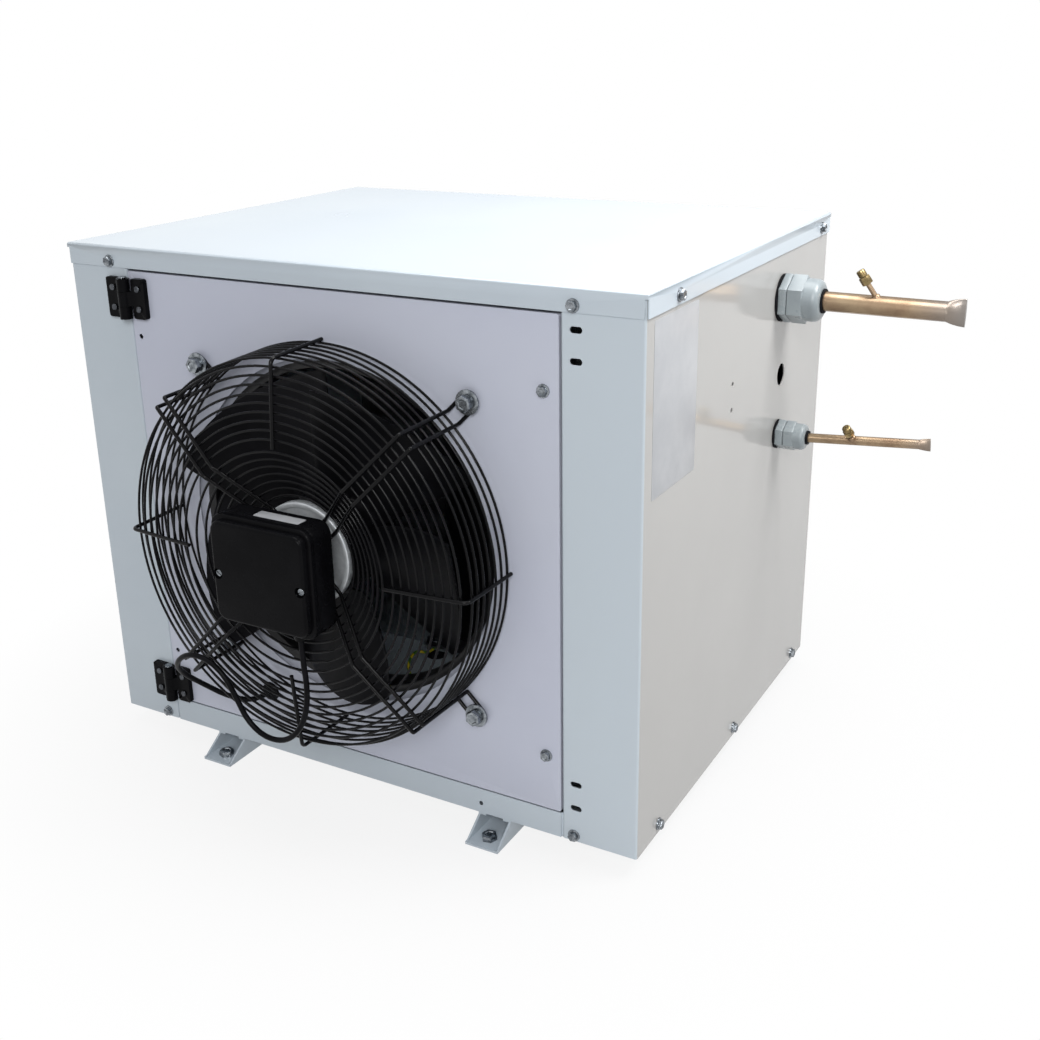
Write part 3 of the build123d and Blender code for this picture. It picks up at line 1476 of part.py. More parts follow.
with BuildPart() as valve_caps:
    for seat, lean, stem, length in (
        (suction_seat, suction_lean, suction_stem, 13.0),
        (liquid_seat, liquid_lean, liquid_stem, 10.0),
    ):
        base = Plane(origin=seat, z_dir=lean).offset(stem - 3.9)
        turned(
            base,
            [
                (stem_r - 0.6, 0),
                (cap_r, 0),
                (cap_r, length - 2),
                (cap_r - 2, length),
                (0, length),
                (0, length - 3),
                (stem_r - 0.6, length - 3),
            ],
        )
valve_caps.part.label = "valve_caps"

# ---------------------------------------------------------------- electrical box and earth wire
control_w, control_h, control_d = 100.0, 150.0, 55.0
control_y, control_level = -120.0, 250.0
control_plane = Plane(
    origin=(half_w - sheet - fit_gap, control_y, floor + control_level), x_dir=(0, -1, 0), z_dir=(-1, 0, 0)
)
with BuildPart() as control_box:
    with BuildSketch(control_plane):
        Rectangle(control_w, control_h)
    extrude(amount=control_d)
    with BuildSketch(control_plane.offset(sheet)):
        Rectangle(control_w - 2 * sheet, control_h - 2 * sheet)
    extrude(amount=control_d, mode=Mode.SUBTRACT)
control_box.part.label = "control_box"

with BuildPart() as control_box_lid:
    with BuildSketch(control_plane.offset(control_d - 8)):
        Rectangle(control_w + 2 * sheet + 0.4, control_h + 2 * sheet + 0.4)
    extrude(amount=8 + sheet + 0.2)
    with BuildSketch(control_plane.offset(control_d - 8)):
        Rectangle(control_w + 0.4, control_h + 0.4)
    extrude(amount=8.2, mode=Mode.SUBTRACT)
control_box_lid.part.label = "control_box_lid"

earth_x, earth_y = -58.0, -62.0
with BuildPart() as earth_stud:
    earth_plane = Plane(origin=(earth_x, earth_y, floor + sheet))
    disc(earth_plane, 6.5, 1.2)
    hexagon(earth_plane.offset(1.2), 8.0, 4.0)
    disc(earth_plane.offset(5.2), 2.4, 5.0)
earth_stud.part.label = "earth_stud"

# The wire runs from the stud's washer, over the pan, to the plate under the compressor.
earth_r = 1.6
earth_end = comp_y - comp_feet - 14.0
earth_points = [
    (earth_x, earth_y + 6.6, floor + sheet + earth_r + 0.1),
    (earth_x, earth_y + 16.0, floor + sheet + earth_r + 0.1),
    (earth_x - 12.0, earth_y + 26.0, floor + sheet + 10.0),
    (earth_x - 12.0, earth_end - 20.0, floor + sheet + 20.0),
    (earth_x, earth_end - 14.0, comp_base + 1.5),
    (earth_x, earth_end - 0.1, comp_base + 1.5),
]
with BuildPart() as earth_wire:
    earth_path = tube_path(earth_points, fair_radii(earth_points))
    with BuildSketch(Plane(origin=earth_path.line @ 0, z_dir=earth_path.line % 0)) as earth_round:
        Circle(earth_r)
    sweep(earth_round.sketch, path=earth_path.line)
report_tube("earth_wire", earth_wire, earth_path, earth_r)
earth_wire.part.label = "earth_wire"

# ---------------------------------------------------------------- files
pieces = (
    foot_rails,
    base_pan,
    rail_rivets,
    right_side_cover,
    left_side_cover,
    roof_cover,
    case_screws,
    fan_door,
    door_screws,
    hinge_leaves_post,
    hinge_leaves_door,
    hinge_pins,
    hinge_screws_post,
    hinge_screws_door,
    guard_rings,
    guard_ribs,
    guard_arms,
    guard_bolts,
    motor_stator,
    motor_bearing,
    motor_screws,
    rotor,
    fan_blades,
    terminal_box_base,
    terminal_box_cover,
    box_screws,
    box_gland,
    motor_lead,
    lead_grommet,
    coil_fins,
    coil_end_plates,
    coil_screws,
    coil_tube_ends,
    coil_headers,
    compressor_shell,
    compressor_base,
    compressor_grommets,
    compressor_bolts,
    compressor_terminal_cover,
    air_baffle,
    liquid_receiver,
    filter_drier,
    suction_pipe,
    liquid_pipe,
    receiver_pipe,
    condensate_pipe,
    discharge_pipe,
    suction_gland_body,
    suction_gland_nut,
    liquid_gland_body,
    liquid_gland_nut,
    gland_seals,
    gland_gaskets,
    gland_locknuts,
    service_valves,
    valve_caps,
    control_box,
    control_box_lid,
    earth_stud,
    earth_wire,
)
for piece in pieces:
    export_step(piece.part, f"parts/{piece.part.label}.step")
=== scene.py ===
"""Looks of the refrigeration condensing unit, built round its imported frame.

Metres, +Z up, the fan door faces -Y, as in the part's source.
"""

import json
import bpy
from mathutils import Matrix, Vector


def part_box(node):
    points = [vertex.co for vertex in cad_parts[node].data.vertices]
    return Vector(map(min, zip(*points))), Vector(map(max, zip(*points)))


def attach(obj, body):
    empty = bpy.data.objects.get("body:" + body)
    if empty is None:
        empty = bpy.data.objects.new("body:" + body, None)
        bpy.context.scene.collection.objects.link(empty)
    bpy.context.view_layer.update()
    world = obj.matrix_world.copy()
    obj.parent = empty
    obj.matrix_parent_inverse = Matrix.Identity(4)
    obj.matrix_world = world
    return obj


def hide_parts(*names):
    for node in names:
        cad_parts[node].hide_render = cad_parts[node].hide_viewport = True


bl_info = {
    "name": "Condensing unit looks",
    "version": (1, 0, 0),
    "blender": (4, 5, 0),
    "location": "3D View > Sidebar > Condensing unit",
    "description": "Wire guard, fasteners, fin pack, terminal box and finishes of a condensing unit",
    "category": "Object",
}

from math import atan2, cos, pi, radians, sin, tan

import bmesh
import bpy
from mathutils import Matrix, Vector

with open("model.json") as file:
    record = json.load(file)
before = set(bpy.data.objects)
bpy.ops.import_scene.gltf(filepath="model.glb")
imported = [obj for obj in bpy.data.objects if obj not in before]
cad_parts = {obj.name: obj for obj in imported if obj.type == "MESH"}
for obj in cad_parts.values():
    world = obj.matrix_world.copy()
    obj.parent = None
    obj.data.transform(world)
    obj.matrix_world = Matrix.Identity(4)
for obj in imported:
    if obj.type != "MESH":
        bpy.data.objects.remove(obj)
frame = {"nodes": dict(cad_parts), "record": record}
NODES = frame["nodes"]
BODY_OF = {node: body for body, nodes in frame["record"]["behaviour"]["bodies"].items() for node in nodes}
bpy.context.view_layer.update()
MM = 0.001

# Boxes of the pieces that the rest lines up with.
DOOR_LOW, DOOR_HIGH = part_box("fan_door")
ROOF_LOW, ROOF_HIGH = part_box("roof_cover")
WALL_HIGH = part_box("right_side_cover")[1]
DOOR_FACE = DOOR_LOW.y
WALL_FACE = WALL_HIGH.x
REAR_FACE = WALL_HIGH.y
CASE_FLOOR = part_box("base_pan")[0].z
ROOF_TOP = ROOF_HIGH.z
RIGHT, LEFT, FRONT, REAR, UP = (1, 0, 0), (-1, 0, 0), (0, -1, 0), (0, 1, 0), (0, 0, 1)
RIB_ANGLES = (0, 90, 180, 270)
ARM_ANGLES = (45, 135, 225, 315)
# Cut-off for points that lie on the same level.
NEAR = 1e-6


def middle_of(node):
    """The centre of a node's box."""
    low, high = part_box(node)
    return (low + high) / 2


# The fan's axis, where it passes through the door's face.
FAN = middle_of("guard_rings")
FAN.y = DOOR_FACE


# -------- sizes and colours
def srgb(code):
    """An sRGB hex colour as linear red, green, blue and alpha."""
    parts = [int(code[i : i + 2], 16) / 255 for i in (0, 2, 4)]
    return [c / 12.92 if c <= 0.04045 else ((c + 0.055) / 1.055) ** 2.4 for c in parts] + [1.0]


def length(name, description, millimetres):
    """A length property in metres, its default given in millimetres."""
    return bpy.props.FloatProperty(
        name=name, description=description, default=millimetres * MM, precision=5, unit="LENGTH"
    )


def colour(name, description, code):
    """A colour property, its default an sRGB hex value."""
    return bpy.props.FloatVectorProperty(
        name=name, description=description, default=srgb(code), size=4, min=0, max=1, subtype="COLOR"
    )


def power(name, watts):
    """A lamp's power."""
    description = f"Power of the {name.lower()}"
    return bpy.props.FloatProperty(name=name, description=description, default=watts, unit="POWER")


def count(name, description, number):
    """A whole number of pieces."""
    return bpy.props.IntProperty(name=name, description=description, default=number, min=1)


class GuardSizes(bpy.types.PropertyGroup):
    """The domed wire guard over the fan."""

    shoulder: length("Shoulder radius", "Radius where the side turns into the face", 182)
    foot: length("Foot radius", "Radius of the guard at the door", 184)
    depth: length("Depth", "Shoulder in front of the door", 73)
    crest: length("Crest radius", "Radius where the face turns inwards", 105)
    crest_depth: length("Crest depth", "Crest in front of the door", 80)
    hub: length("Hub radius", "Radius where the arms meet the motor", 48)
    hub_depth: length("Hub depth", "Arms' inner ends in front of the door", 52.2)
    first_ring: length("First ring", "Ring nearest the door", 5.5)
    face_inset: length("Face inset", "From the shoulder to the face's first ring", 7.5)
    ring_wire: length("Ring wire radius", "Radius of the rings' wire", 1.15)
    arm_wire: length("Arm wire radius", "Radius of the arms' and ribs' wire", 1.8)
    pitch: length("Half pitch", "Half the distance between an arm's two wires", 7.2)
    bolts: length("Bolt circle radius", "Radius of the arms' four bolts", 206)
    side_rings: count("Side rings", "Rings on the side", 7)
    face_rings: count("Face rings", "Rings on the face", 9)
    cone_rings: count("Cone rings", "Rings inside the crest", 7)


class FastenerSizes(bpy.types.PropertyGroup):
    """Screws and bolts."""

    screw_flange: length("Screw flange radius", "Flange of the case screws", 5.8)
    screw_flats: length("Screw flats", "Across the case screws' flats", 8)
    screw_height: length("Screw height", "Height of the case screws with the flange", 4.4)
    bolt_flats: length("Bolt flats", "Across the M8 bolts' flats", 13)
    bolt_height: length("Bolt height", "Height of the M8 bolts' heads", 5.3)
    washer: length("Washer radius", "Washers under the M8 bolts", 11)


class BoxSizes(bpy.types.PropertyGroup):
    """The terminal box on the motor; depths are in front of the door."""

    width: length("Width", "Width of the box", 106)
    height: length("Height", "Height of the box", 100)
    corner: length("Corner radius", "Rounding of its corners", 12)
    neck: length("Neck", "Depth of the neck's start", 59.6)
    back: length("Back", "Depth of the box's back", 75)
    split: length("Split", "Depth of the seam under the lid", 100)
    rim: length("Rim", "Depth of the lid's rim", 106)
    face: length("Face", "Depth of the lid's face", 113)
    screw_x: length("Screw place", "Lid screws from the fan's axis, across", 44)
    screw_z: length("Screw level", "Lid screws from the fan's axis, upwards", -3)


class FittingSizes(bpy.types.PropertyGroup):
    """Cable glands on the tubes and capped valves."""

    gasket: length("Gasket", "Thickness of the glands' gaskets", 2)
    collar: length("Collar", "Height of the glands' collars", 8)
    suction_flats: length("Suction gland flats", "Across the suction gland's flats", 41)
    suction_nut: length("Suction nut length", "Length of the suction dome nut", 30)
    suction_tube: length("Suction tube radius", "Radius of the suction tube", 9.525)
    liquid_flats: length("Liquid gland flats", "Across the liquid gland's flats", 26)
    liquid_nut: length("Liquid nut length", "Length of the liquid dome nut", 21)
    liquid_tube: length("Liquid tube radius", "Radius of the liquid tube", 4.8)
    stem: length("Valve stem radius", "Tube under each valve", 2.4)
    cap_flats: length("Valve flats", "Across each valve body's flats", 9)


class CoilSizes(bpy.types.PropertyGroup):
    """The finned coil across the rear."""

    pitch: length("Fin pitch", "Distance from fin to fin", 2.4)
    fin: length("Fin thickness", "Thickness of each fin, enough to show", 0.3)
    tube: length("Tube radius", "Radius of the tubes through the fins", 4.8)


class Finishes(bpy.types.PropertyGroup):
    """Colours of the main finishes."""

    case_paint: colour("Case paint", "Left cover, roof, pan and feet", "bac4cc")
    # Painted light: the right cover is one paint with the case; this tone of its own on the side stands for
    # the light on that face.
    side_paint: colour("Side paint", "Right cover", "a9a8a6")
    door_paint: colour("Door paint", "Fan door", "bcc0cd")
    guard_coat: colour("Guard coat", "Coated wire of the guard", "0a0a0c")
    moulded_black: colour("Black plastic", "Terminal box and hinges", "08080a")
    copper: colour("Copper", "Bare tube", "ab957a")
    brass: colour("Brass", "Valves and caps", "9a8760")
    nylon: colour("Grey nylon", "Glands", "8b9396")


class StageSizes(bpy.types.PropertyGroup):
    """The floor and the light."""

    floor: length("Floor size", "Side of the floor", 24000)
    key: power("Key light", 46)
    fill: power("Fill light", 12)
    top: power("Top light", 38)
    sky: bpy.props.FloatProperty(name="Sky level", description="Level of the even light", default=0.3, min=0)


# -------- materials
def add(tree, kind, inputs=None, **settings):
    """Add a node, set its properties, and set or link its inputs."""
    node = tree.nodes.new(kind)
    for key, value in settings.items():
        setattr(node, key, value)
    for key, value in (inputs or {}).items():
        socket = node.inputs[key]
        if isinstance(value, bpy.types.NodeSocket):
            tree.links.new(value, socket)
        else:
            socket.default_value = value
    return node


def ramp(tree, value, low=0.0, high=1.0, start=0.0, end=1.0):
    """The value, its range from low to high spread from start to end."""
    inputs = {"Value": value, "From Min": low, "From Max": high, "To Min": start, "To Max": end}
    return add(tree, "ShaderNodeMapRange", inputs).outputs["Result"]


def mixed(tree, share, first, second):
    """A colour between two others."""
    return add(tree, "ShaderNodeMix", {0: share, 6: first, 7: second}, data_type="RGBA").outputs[2]


def noise(tree, place, size, detail, rough=0.5):
    """Noise whose blotches have a size in millimetres."""
    inputs = {"Vector": place, "Scale": 1000 / size, "Detail": detail, "Roughness": rough}
    return add(tree, "ShaderNodeTexNoise", inputs).outputs["Fac"]


def result(tree, operation, first, second):
    """The result of a sum on two values."""
    return add(tree, "ShaderNodeMath", {0: first, 1: second}, operation=operation).outputs[0]


def new_surface(name, **constants):
    """An empty material with its shader, and the piece's own coordinates."""
    material = bpy.data.materials.new(name)
    material.use_nodes = True
    tree = material.node_tree
    tree.nodes.clear()
    shader = add(tree, "ShaderNodeBsdfPrincipled", constants)
    add(tree, "ShaderNodeOutputMaterial", {"Surface": shader.outputs["BSDF"]})
    place = add(tree, "ShaderNodeTexCoord").outputs["Object"]
    material.diffuse_color = (0.5, 0.5, 0.5, 1.0)
    return material, tree, shader, place


def finish(tree, shader, tone, gloss, height=None, depth=0.0):
    """Give a shader its colour, roughness and relief; the relief's depth is in millimetres."""
    tree.links.new(tone, shader.inputs["Base Color"])
    tree.links.new(gloss, shader.inputs["Roughness"])
    if height:
        relief = add(tree, "ShaderNodeBump", {"Height": height, "Distance": depth * MM, "Strength": 1.0})
        tree.links.new(relief.outputs["Normal"], shader.inputs["Normal"])


def coated(name, base, shade, blotch, rough, grain, depth, stretch=(1, 1, 1), **constants):
    """A finish with soft blotches of colour and gloss over a fine grain; sizes in millimetres."""
    base = srgb(base) if isinstance(base, str) else base
    material, tree, shader, place = new_surface(name, **constants)
    drawn = add(tree, "ShaderNodeMapping", {"Vector": place, "Scale": stretch}).outputs["Vector"]
    cloud = noise(tree, drawn, blotch, 4.0, 0.6)
    tone = mixed(tree, ramp(tree, cloud, 0.35, 0.65), base, srgb(shade))
    finish(tree, shader, tone, ramp(tree, cloud, 0.3, 0.7, *rough), noise(tree, drawn, grain, 3.0), depth)
    material.diffuse_color = base
    return material


def galvanised_steel():
    """Hot-dip galvanised sheet: crystals of zinc, each with its own tone and gloss."""
    material, tree, shader, place = new_surface("galvanised_steel", Metallic=1.0)
    crystal = add(tree, "ShaderNodeTexVoronoi", {"Vector": place, "Scale": 1000 / 9.0}, feature="F1")
    tone = add(tree, "ShaderNodeSeparateColor", {"Color": crystal.outputs["Color"]}).outputs["Red"]
    finish(tree, shader, mixed(tree, tone, srgb("a9adb0"), srgb("c2c5c7")), ramp(tree, tone, 0, 1, 0.34, 0.5))
    return material


def drawn_copper(base):
    """Hard-drawn copper tube: draw marks along it, brown tarnish, and grey scale at the crimped ends."""
    material, tree, shader, place = new_surface("drawn_copper_tube", Metallic=1.0)
    patch = ramp(tree, noise(tree, place, 34.0, 5.0, 0.6), 0.4, 0.72)
    along = add(tree, "ShaderNodeSeparateXYZ", {"Vector": place}).outputs["X"]
    crimped = ramp(tree, along, WALL_FACE + 120 * MM, WALL_FACE + 168 * MM)
    tone = mixed(tree, crimped, mixed(tree, patch, base, srgb("7a6250")), srgb("8b8580"))
    lengthwise = add(tree, "ShaderNodeMapping", {"Vector": place, "Scale": (0.06, 1, 1)}).outputs["Vector"]
    finish(tree, shader, tone, ramp(tree, patch, 0, 1, 0.3, 0.46), noise(tree, lengthwise, 1.6, 2.0), 0.03)
    return material


def overlaid(material, tone, share_of):
    """Lay a second colour over a material, by a share worked out from the place and its Y."""
    tree = material.node_tree
    colour_socket = next(node for node in tree.nodes if node.type == "BSDF_PRINCIPLED").inputs["Base Color"]
    place = add(tree, "ShaderNodeTexCoord").outputs["Object"]
    depth = add(tree, "ShaderNodeSeparateXYZ", {"Vector": place}).outputs["Y"]
    share = share_of(tree, place, depth)
    tree.links.new(mixed(tree, share, colour_socket.links[0].from_socket, tone), colour_socket)
    return material


def strip_share_of_painted_light(tree, place, depth):
    """1 on the right cover's front strip and 0 on its side; the two tones it splits paint the different light
    on two faces of one paint.
    """
    return ramp(tree, depth, DOOR_FACE + 0.8 * MM, DOOR_FACE + 2.0 * MM, 1.0, 0.0)


def collar_painted_shade(tree, place, depth):
    """1 on the inside of the opening's collar, behind the door's face and near the fan's axis: where the door
    is given near-black as painted shade.
    """
    behind = ramp(tree, depth, DOOR_FACE + 4 * MM, DOOR_FACE + 6 * MM)
    flat = add(tree, "ShaderNodeVectorMath", {0: place, 1: (1, 0, 1)}, operation="MULTIPLY").outputs["Vector"]
    axis = (FAN.x, 0, FAN.z)
    off = add(tree, "ShaderNodeVectorMath", {0: flat, 1: axis}, operation="DISTANCE").outputs["Value"]
    return result(tree, "MULTIPLY", behind, result(tree, "LESS_THAN", off, 161 * MM))


def earth_sleeve():
    """Earth wire: green insulation with a yellow stripe wound along it."""
    material, tree, shader, place = new_surface("green_yellow_pvc", Roughness=0.4)
    bands = {"wave_type": "BANDS", "bands_direction": "DIAGONAL"}
    stripe = add(tree, "ShaderNodeTexWave", {"Vector": place, "Scale": 1000 / 26.0}, **bands).outputs["Fac"]
    tone = mixed(tree, ramp(tree, stripe, 0.45, 0.55), srgb("4f7d2c"), srgb("d8c62e"))
    tree.links.new(tone, shader.inputs["Base Color"])
    return material


def make_finishes(tones):
    """Every material of the unit, by the name of its slot in the record."""
    dull = {"Specular IOR Level": 0.05}
    glint = {"Specular IOR Level": 0.12}
    metal = {"Metallic": 1.0}
    return {
        # Baked powder coat on steel: satin, with the faint orange peel of melted powder.
        "case_paint": coated(
            "powder_coated_steel_blue_grey", tones.case_paint, "b5bfc8", 240, (0.2, 0.28), 2.4, 0.006
        ),
        # The same on the fan door, with near-black painted inside the opening's collar as shade, for the
        # shadow that fills it.
        "door_paint": overlaid(
            coated(
                "powder_coated_steel_lilac_grey", tones.door_paint, "b8bccb", 240, (0.34, 0.42), 1.8, 0.012
            ),
            # Painted shade: near-black over the collar's inside.
            srgb("101012"),
            collar_painted_shade,
        ),
        # One gloss powder coat on the whole right cover; its side is given a warmer, darker tone of its own
        # and its front strip the case paint's colour, as painted light for the different light on the two
        # faces.
        "side_paint": overlaid(
            coated(
                "powder_coated_steel_side_painted_light", tones.side_paint, "a5a4a2", 260, (0.1, 0.16), 2.6, 0.006
            ),
            tones.case_paint,
            strip_share_of_painted_light,
        ),
        # Steel wire dipped in black polyester: deep black, with thin sharp glints.
        "black_wire": coated(
            "polyester_coated_wire", tones.guard_coat, "0b0b0d", 30, (0.1, 0.18), 1.2, 0.01, **glint
        ),
        # Stoved enamel on the pressure vessels: semi-gloss black over welded steel.
        "black_enamel": coated("stoved_black_enamel", "0d0d0f", "151518", 60, (0.28, 0.4), 1.5, 0.03, **dull),
        # Primer on the rotor and the blades: thin and even.
        "rotor_black": coated(
            "black_primer_on_steel", "0a0a0c", "121215", 40, (0.32, 0.45), 1.4, 0.03, **dull
        ),
        # Machine enamel on the drier.
        "drier_paint": coated("green_machine_enamel", "2c5a44", "254b3a", 30, (0.3, 0.4), 1.2, 0.02),
        # Moulded ABS with a light spark-eroded grain.
        "black_plastic": coated(
            "moulded_black_abs", tones.moulded_black, "0c0c0e", 25, (0.22, 0.32), 0.7, 0.012, **dull
        ),
        # Nylon 6 from the tool: waxy half gloss.
        "grey_plastic": coated("moulded_grey_nylon", tones.nylon, "828a8e", 20, (0.24, 0.34), 0.6, 0.012),
        # Rubber of seals and grommets: dull, with a fine bloom.
        "black_rubber": coated("black_epdm_rubber", "131315", "1a1a1d", 15, (0.55, 0.7), 0.5, 0.03, **dull),
        # Soft PVC of the motor's lead.
        "cable_jacket": coated("black_pvc_jacket", "0b0b0d", "131316", 15, (0.3, 0.42), 0.6, 0.02, **dull),
        # Electroplated zinc with clear passivation: grey, slightly uneven.
        "zinc": coated("clear_zinc_plated_steel", "969ba0", "5b6065", 4, (0.18, 0.34), 0.4, 0.01, **metal),
        # Blackened screws of the hinges.
        "dark_screw": coated("blackened_steel", "5c5f64", "3c3e42", 4, (0.22, 0.34), 0.4, 0.01, **metal),
        # Cast aluminium end shield, turned on its face.
        "motor_silver": coated(
            "turned_cast_aluminium", "ced2d5", "bcc0c4", 8, (0.4, 0.5), 0.5, 0.02, Metallic=0.45
        ),
        # Thin rolled fin stock: bright, with rolling marks up the sheet.
        "fin_aluminium": coated(
            "rolled_aluminium_fin", "b9bdc0", "9da1a4", 30, (0.3, 0.42), 2.0, 0.02, (1, 1, 0.1), **metal
        ),
        "galvanised": galvanised_steel(),
        "copper": drawn_copper(tones.copper),
        # Bare machined brass, dulled by handling.
        "brass": coated("machined_brass", tones.brass, "6f6044", 5, (0.22, 0.4), 0.4, 0.012, **metal),
        # Printed label stock left blank: satin film.
        "label_film": coated("blank_label_film", "aaacaf", "a1a3a7", 40, (0.3, 0.4), 1.0, 0.004),
        "earth_jacket": earth_sleeve(),
    }


SURFACES = {}


def surface(slot):
    """The material of a slot, made with the others at the first call."""
    if not SURFACES:
        SURFACES.update(make_finishes(bpy.context.scene.unit_finishes))
    return SURFACES[slot]


# -------- modelling helpers
def clear_selection():
    """Leave edit mode and deselect every object."""
    if bpy.context.object and bpy.context.object.mode != "OBJECT":
        bpy.ops.object.mode_set(mode="OBJECT")
    bpy.ops.object.select_all(action="DESELECT")


def pick(piece):
    """Select only this piece and make it active."""
    clear_selection()
    piece.select_set(True)
    bpy.context.view_layer.objects.active = piece


def select_where(kind, test):
    """In edit mode, select the active mesh's vertices, edges or faces that pass the test."""
    bpy.ops.mesh.select_mode(type=kind[:-1].upper())
    bpy.ops.mesh.select_all(action="DESELECT")
    mesh = bmesh.from_edit_mesh(bpy.context.object.data)
    for element in getattr(mesh, kind):
        element.select_set(bool(test(element)))
    mesh.select_flush_mode()
    bmesh.update_edit_mesh(bpy.context.object.data)


def edit(piece):
    """Open one piece in edit mode."""
    pick(piece)
    bpy.ops.object.mode_set(mode="EDIT")


def done():
    """Close edit mode and return the piece."""
    bpy.ops.object.mode_set(mode="OBJECT")
    return bpy.context.object


def dress(piece, name, slot, body, *nodes):
    """Name a piece, put its place into its mesh, paint it, and let it ride on a body for its nodes."""
    pick(piece)
    bpy.ops.object.transform_apply()
    piece.name = name
    piece.data.name = name
    piece.data.materials.clear()
    piece.data.materials.append(surface(slot))
    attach(piece, body)
    if nodes:
        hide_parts(*nodes)
    return piece


def joined(pieces):
    """Join pieces into the first."""
    clear_selection()
    for piece in pieces:
        piece.select_set(True)
    bpy.context.view_layer.objects.active = pieces[0]
    if len(pieces) > 1:
        bpy.ops.object.join()
    return bpy.context.object


def smooth(piece, angle=35):
    """Smooth shading but for edges sharper than the angle, in degrees."""
    pick(piece)
    bpy.ops.object.shade_smooth_by_angle(angle=radians(angle))
    return piece


def facing(place, outward, turn=0.0):
    """The place of something modelled on the floor plane whose +Z is to point outwards."""
    tilt = Vector(outward).to_track_quat("Z", "Y").to_matrix().to_4x4()
    return Matrix.Translation(Vector(place)) @ tilt @ Matrix.Rotation(turn, 4, "Z")


def duplicate(piece):
    """A copy of a piece with a mesh of its own."""
    copy = piece.copy()
    copy.data = piece.data.copy()
    bpy.context.scene.collection.objects.link(copy)
    return copy


def copies(model, places):
    """One copy of the model at each place, joined; the model itself is removed."""
    made = []
    for place in places:
        made.append(duplicate(model))
        made[-1].data.transform(place)
    bpy.data.objects.remove(model)
    return joined(made)


def bent_wire(points, turn, radius, sides=3):
    """A round wire through the points, its corners rounded over a length of turn."""
    clear_selection()
    bpy.ops.mesh.primitive_plane_add(size=0.01, location=points[0])
    bpy.ops.object.mode_set(mode="EDIT")
    bpy.ops.mesh.select_all(action="SELECT")
    bpy.ops.mesh.merge(type="CENTER")
    for start, end in zip(points, points[1:]):
        step = Vector(end) - Vector(start)
        bpy.ops.mesh.extrude_vertices_move(TRANSFORM_OT_translate={"value": step})
    select_where("verts", lambda v: len(v.link_edges) == 2)
    bpy.ops.mesh.bevel(offset=turn, segments=6, affect="VERTICES", clamp_overlap=True)
    bpy.ops.object.mode_set(mode="OBJECT")
    bpy.ops.object.convert(target="CURVE")
    wire = bpy.context.object
    wire.data.bevel_depth = radius
    wire.data.bevel_resolution = sides
    wire.data.use_fill_caps = True
    bpy.ops.object.convert(target="MESH")
    return smooth(bpy.context.object, 50)


# -------- motor lead
# Places along the lead: across, in front of the door, and above the case's floor, in millimetres.
LEAD_ROUTE = [
    (18, 87, 198), (18, 87, 170), (22, 88, 140), (18, 89, 112),
    (6, 90, 91), (-12, 89, 79), (-34, 88, 78), (-52, 88, 90),
    (-62, 89, 112), (-74, 90, 134), (-94, 91, 146), (-118, 90, 143),
    (-138, 84, 126), (-148, 68, 106), (-142, 48, 86), (-124, 34, 70),
    (-106, 24, 65), (-98, 12, 66), (-98, -6, 66),
]
# Places along the earth wire: across, along, and above the case's floor, in millimetres.
EARTH_ROUTE = [
    (-58, -55.4, 2.9), (-58, -46, 2.9), (-70, -36, 11.2), (-70, -18, 21.2),
    (-58, -12, 16.7), (-58, 1.9, 16.7),
]


def cable(name, places, diameter, slot, body, node):
    """A round cord on a NURBS spline through its route, in place of its solid."""
    clear_selection()
    line = bpy.data.curves.new(name, "CURVE")
    line.dimensions = "3D"
    spline = line.splines.new("NURBS")
    spline.points.add(len(places) - 1)
    for point, place in zip(spline.points, places):
        point.co = (*place, 1.0)
    spline.order_u = 3
    spline.use_endpoint_u = True
    spline.resolution_u = 8
    line.bevel_depth = diameter / 2
    line.bevel_resolution = 5
    line.use_fill_caps = True
    piece = bpy.data.objects.new(name, line)
    bpy.context.scene.collection.objects.link(piece)
    line.materials.append(surface(slot))
    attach(piece, body)
    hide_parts(node)


class UNIT_OT_cables(bpy.types.Operator):
    """The motor's lead, from its box to the grommet in the door, and the earth wire on the pan"""

    bl_idname = "unit.cables"
    bl_label = "Cables"

    def execute(self, context):
        places = [(x * MM, DOOR_FACE - out * MM, CASE_FLOOR + level * MM) for x, out, level in LEAD_ROUTE]
        cable("motor_lead_cable", places, 0.0052, "cable_jacket", "door", "motor_lead")
        places = [(x * MM, y * MM, CASE_FLOOR + level * MM) for x, y, level in EARTH_ROUTE]
        cable("earth_wire_cable", places, 0.0032, "earth_jacket", "case", "earth_wire")
        return {"FINISHED"}


# -------- wire guard
def on_guard(angle, radius, side, depth):
    """A point on the guard: round the fan's axis, across an arm, and in front of the door."""
    a = radians(angle)
    return FAN + Vector((radius * cos(a) - side * sin(a), -depth, radius * sin(a) + side * cos(a)))


def seat(sizes):
    """Height of the arms' and ribs' wire over the door, where it touches."""
    return sizes.arm_wire + 0.3 * MM


def wire_radius(sizes, depth):
    """Radius of the side run of an arm or rib at a distance from the door."""
    share = (depth - seat(sizes)) / (sizes.depth - seat(sizes))
    return sizes.foot + (sizes.shoulder - sizes.foot) * share


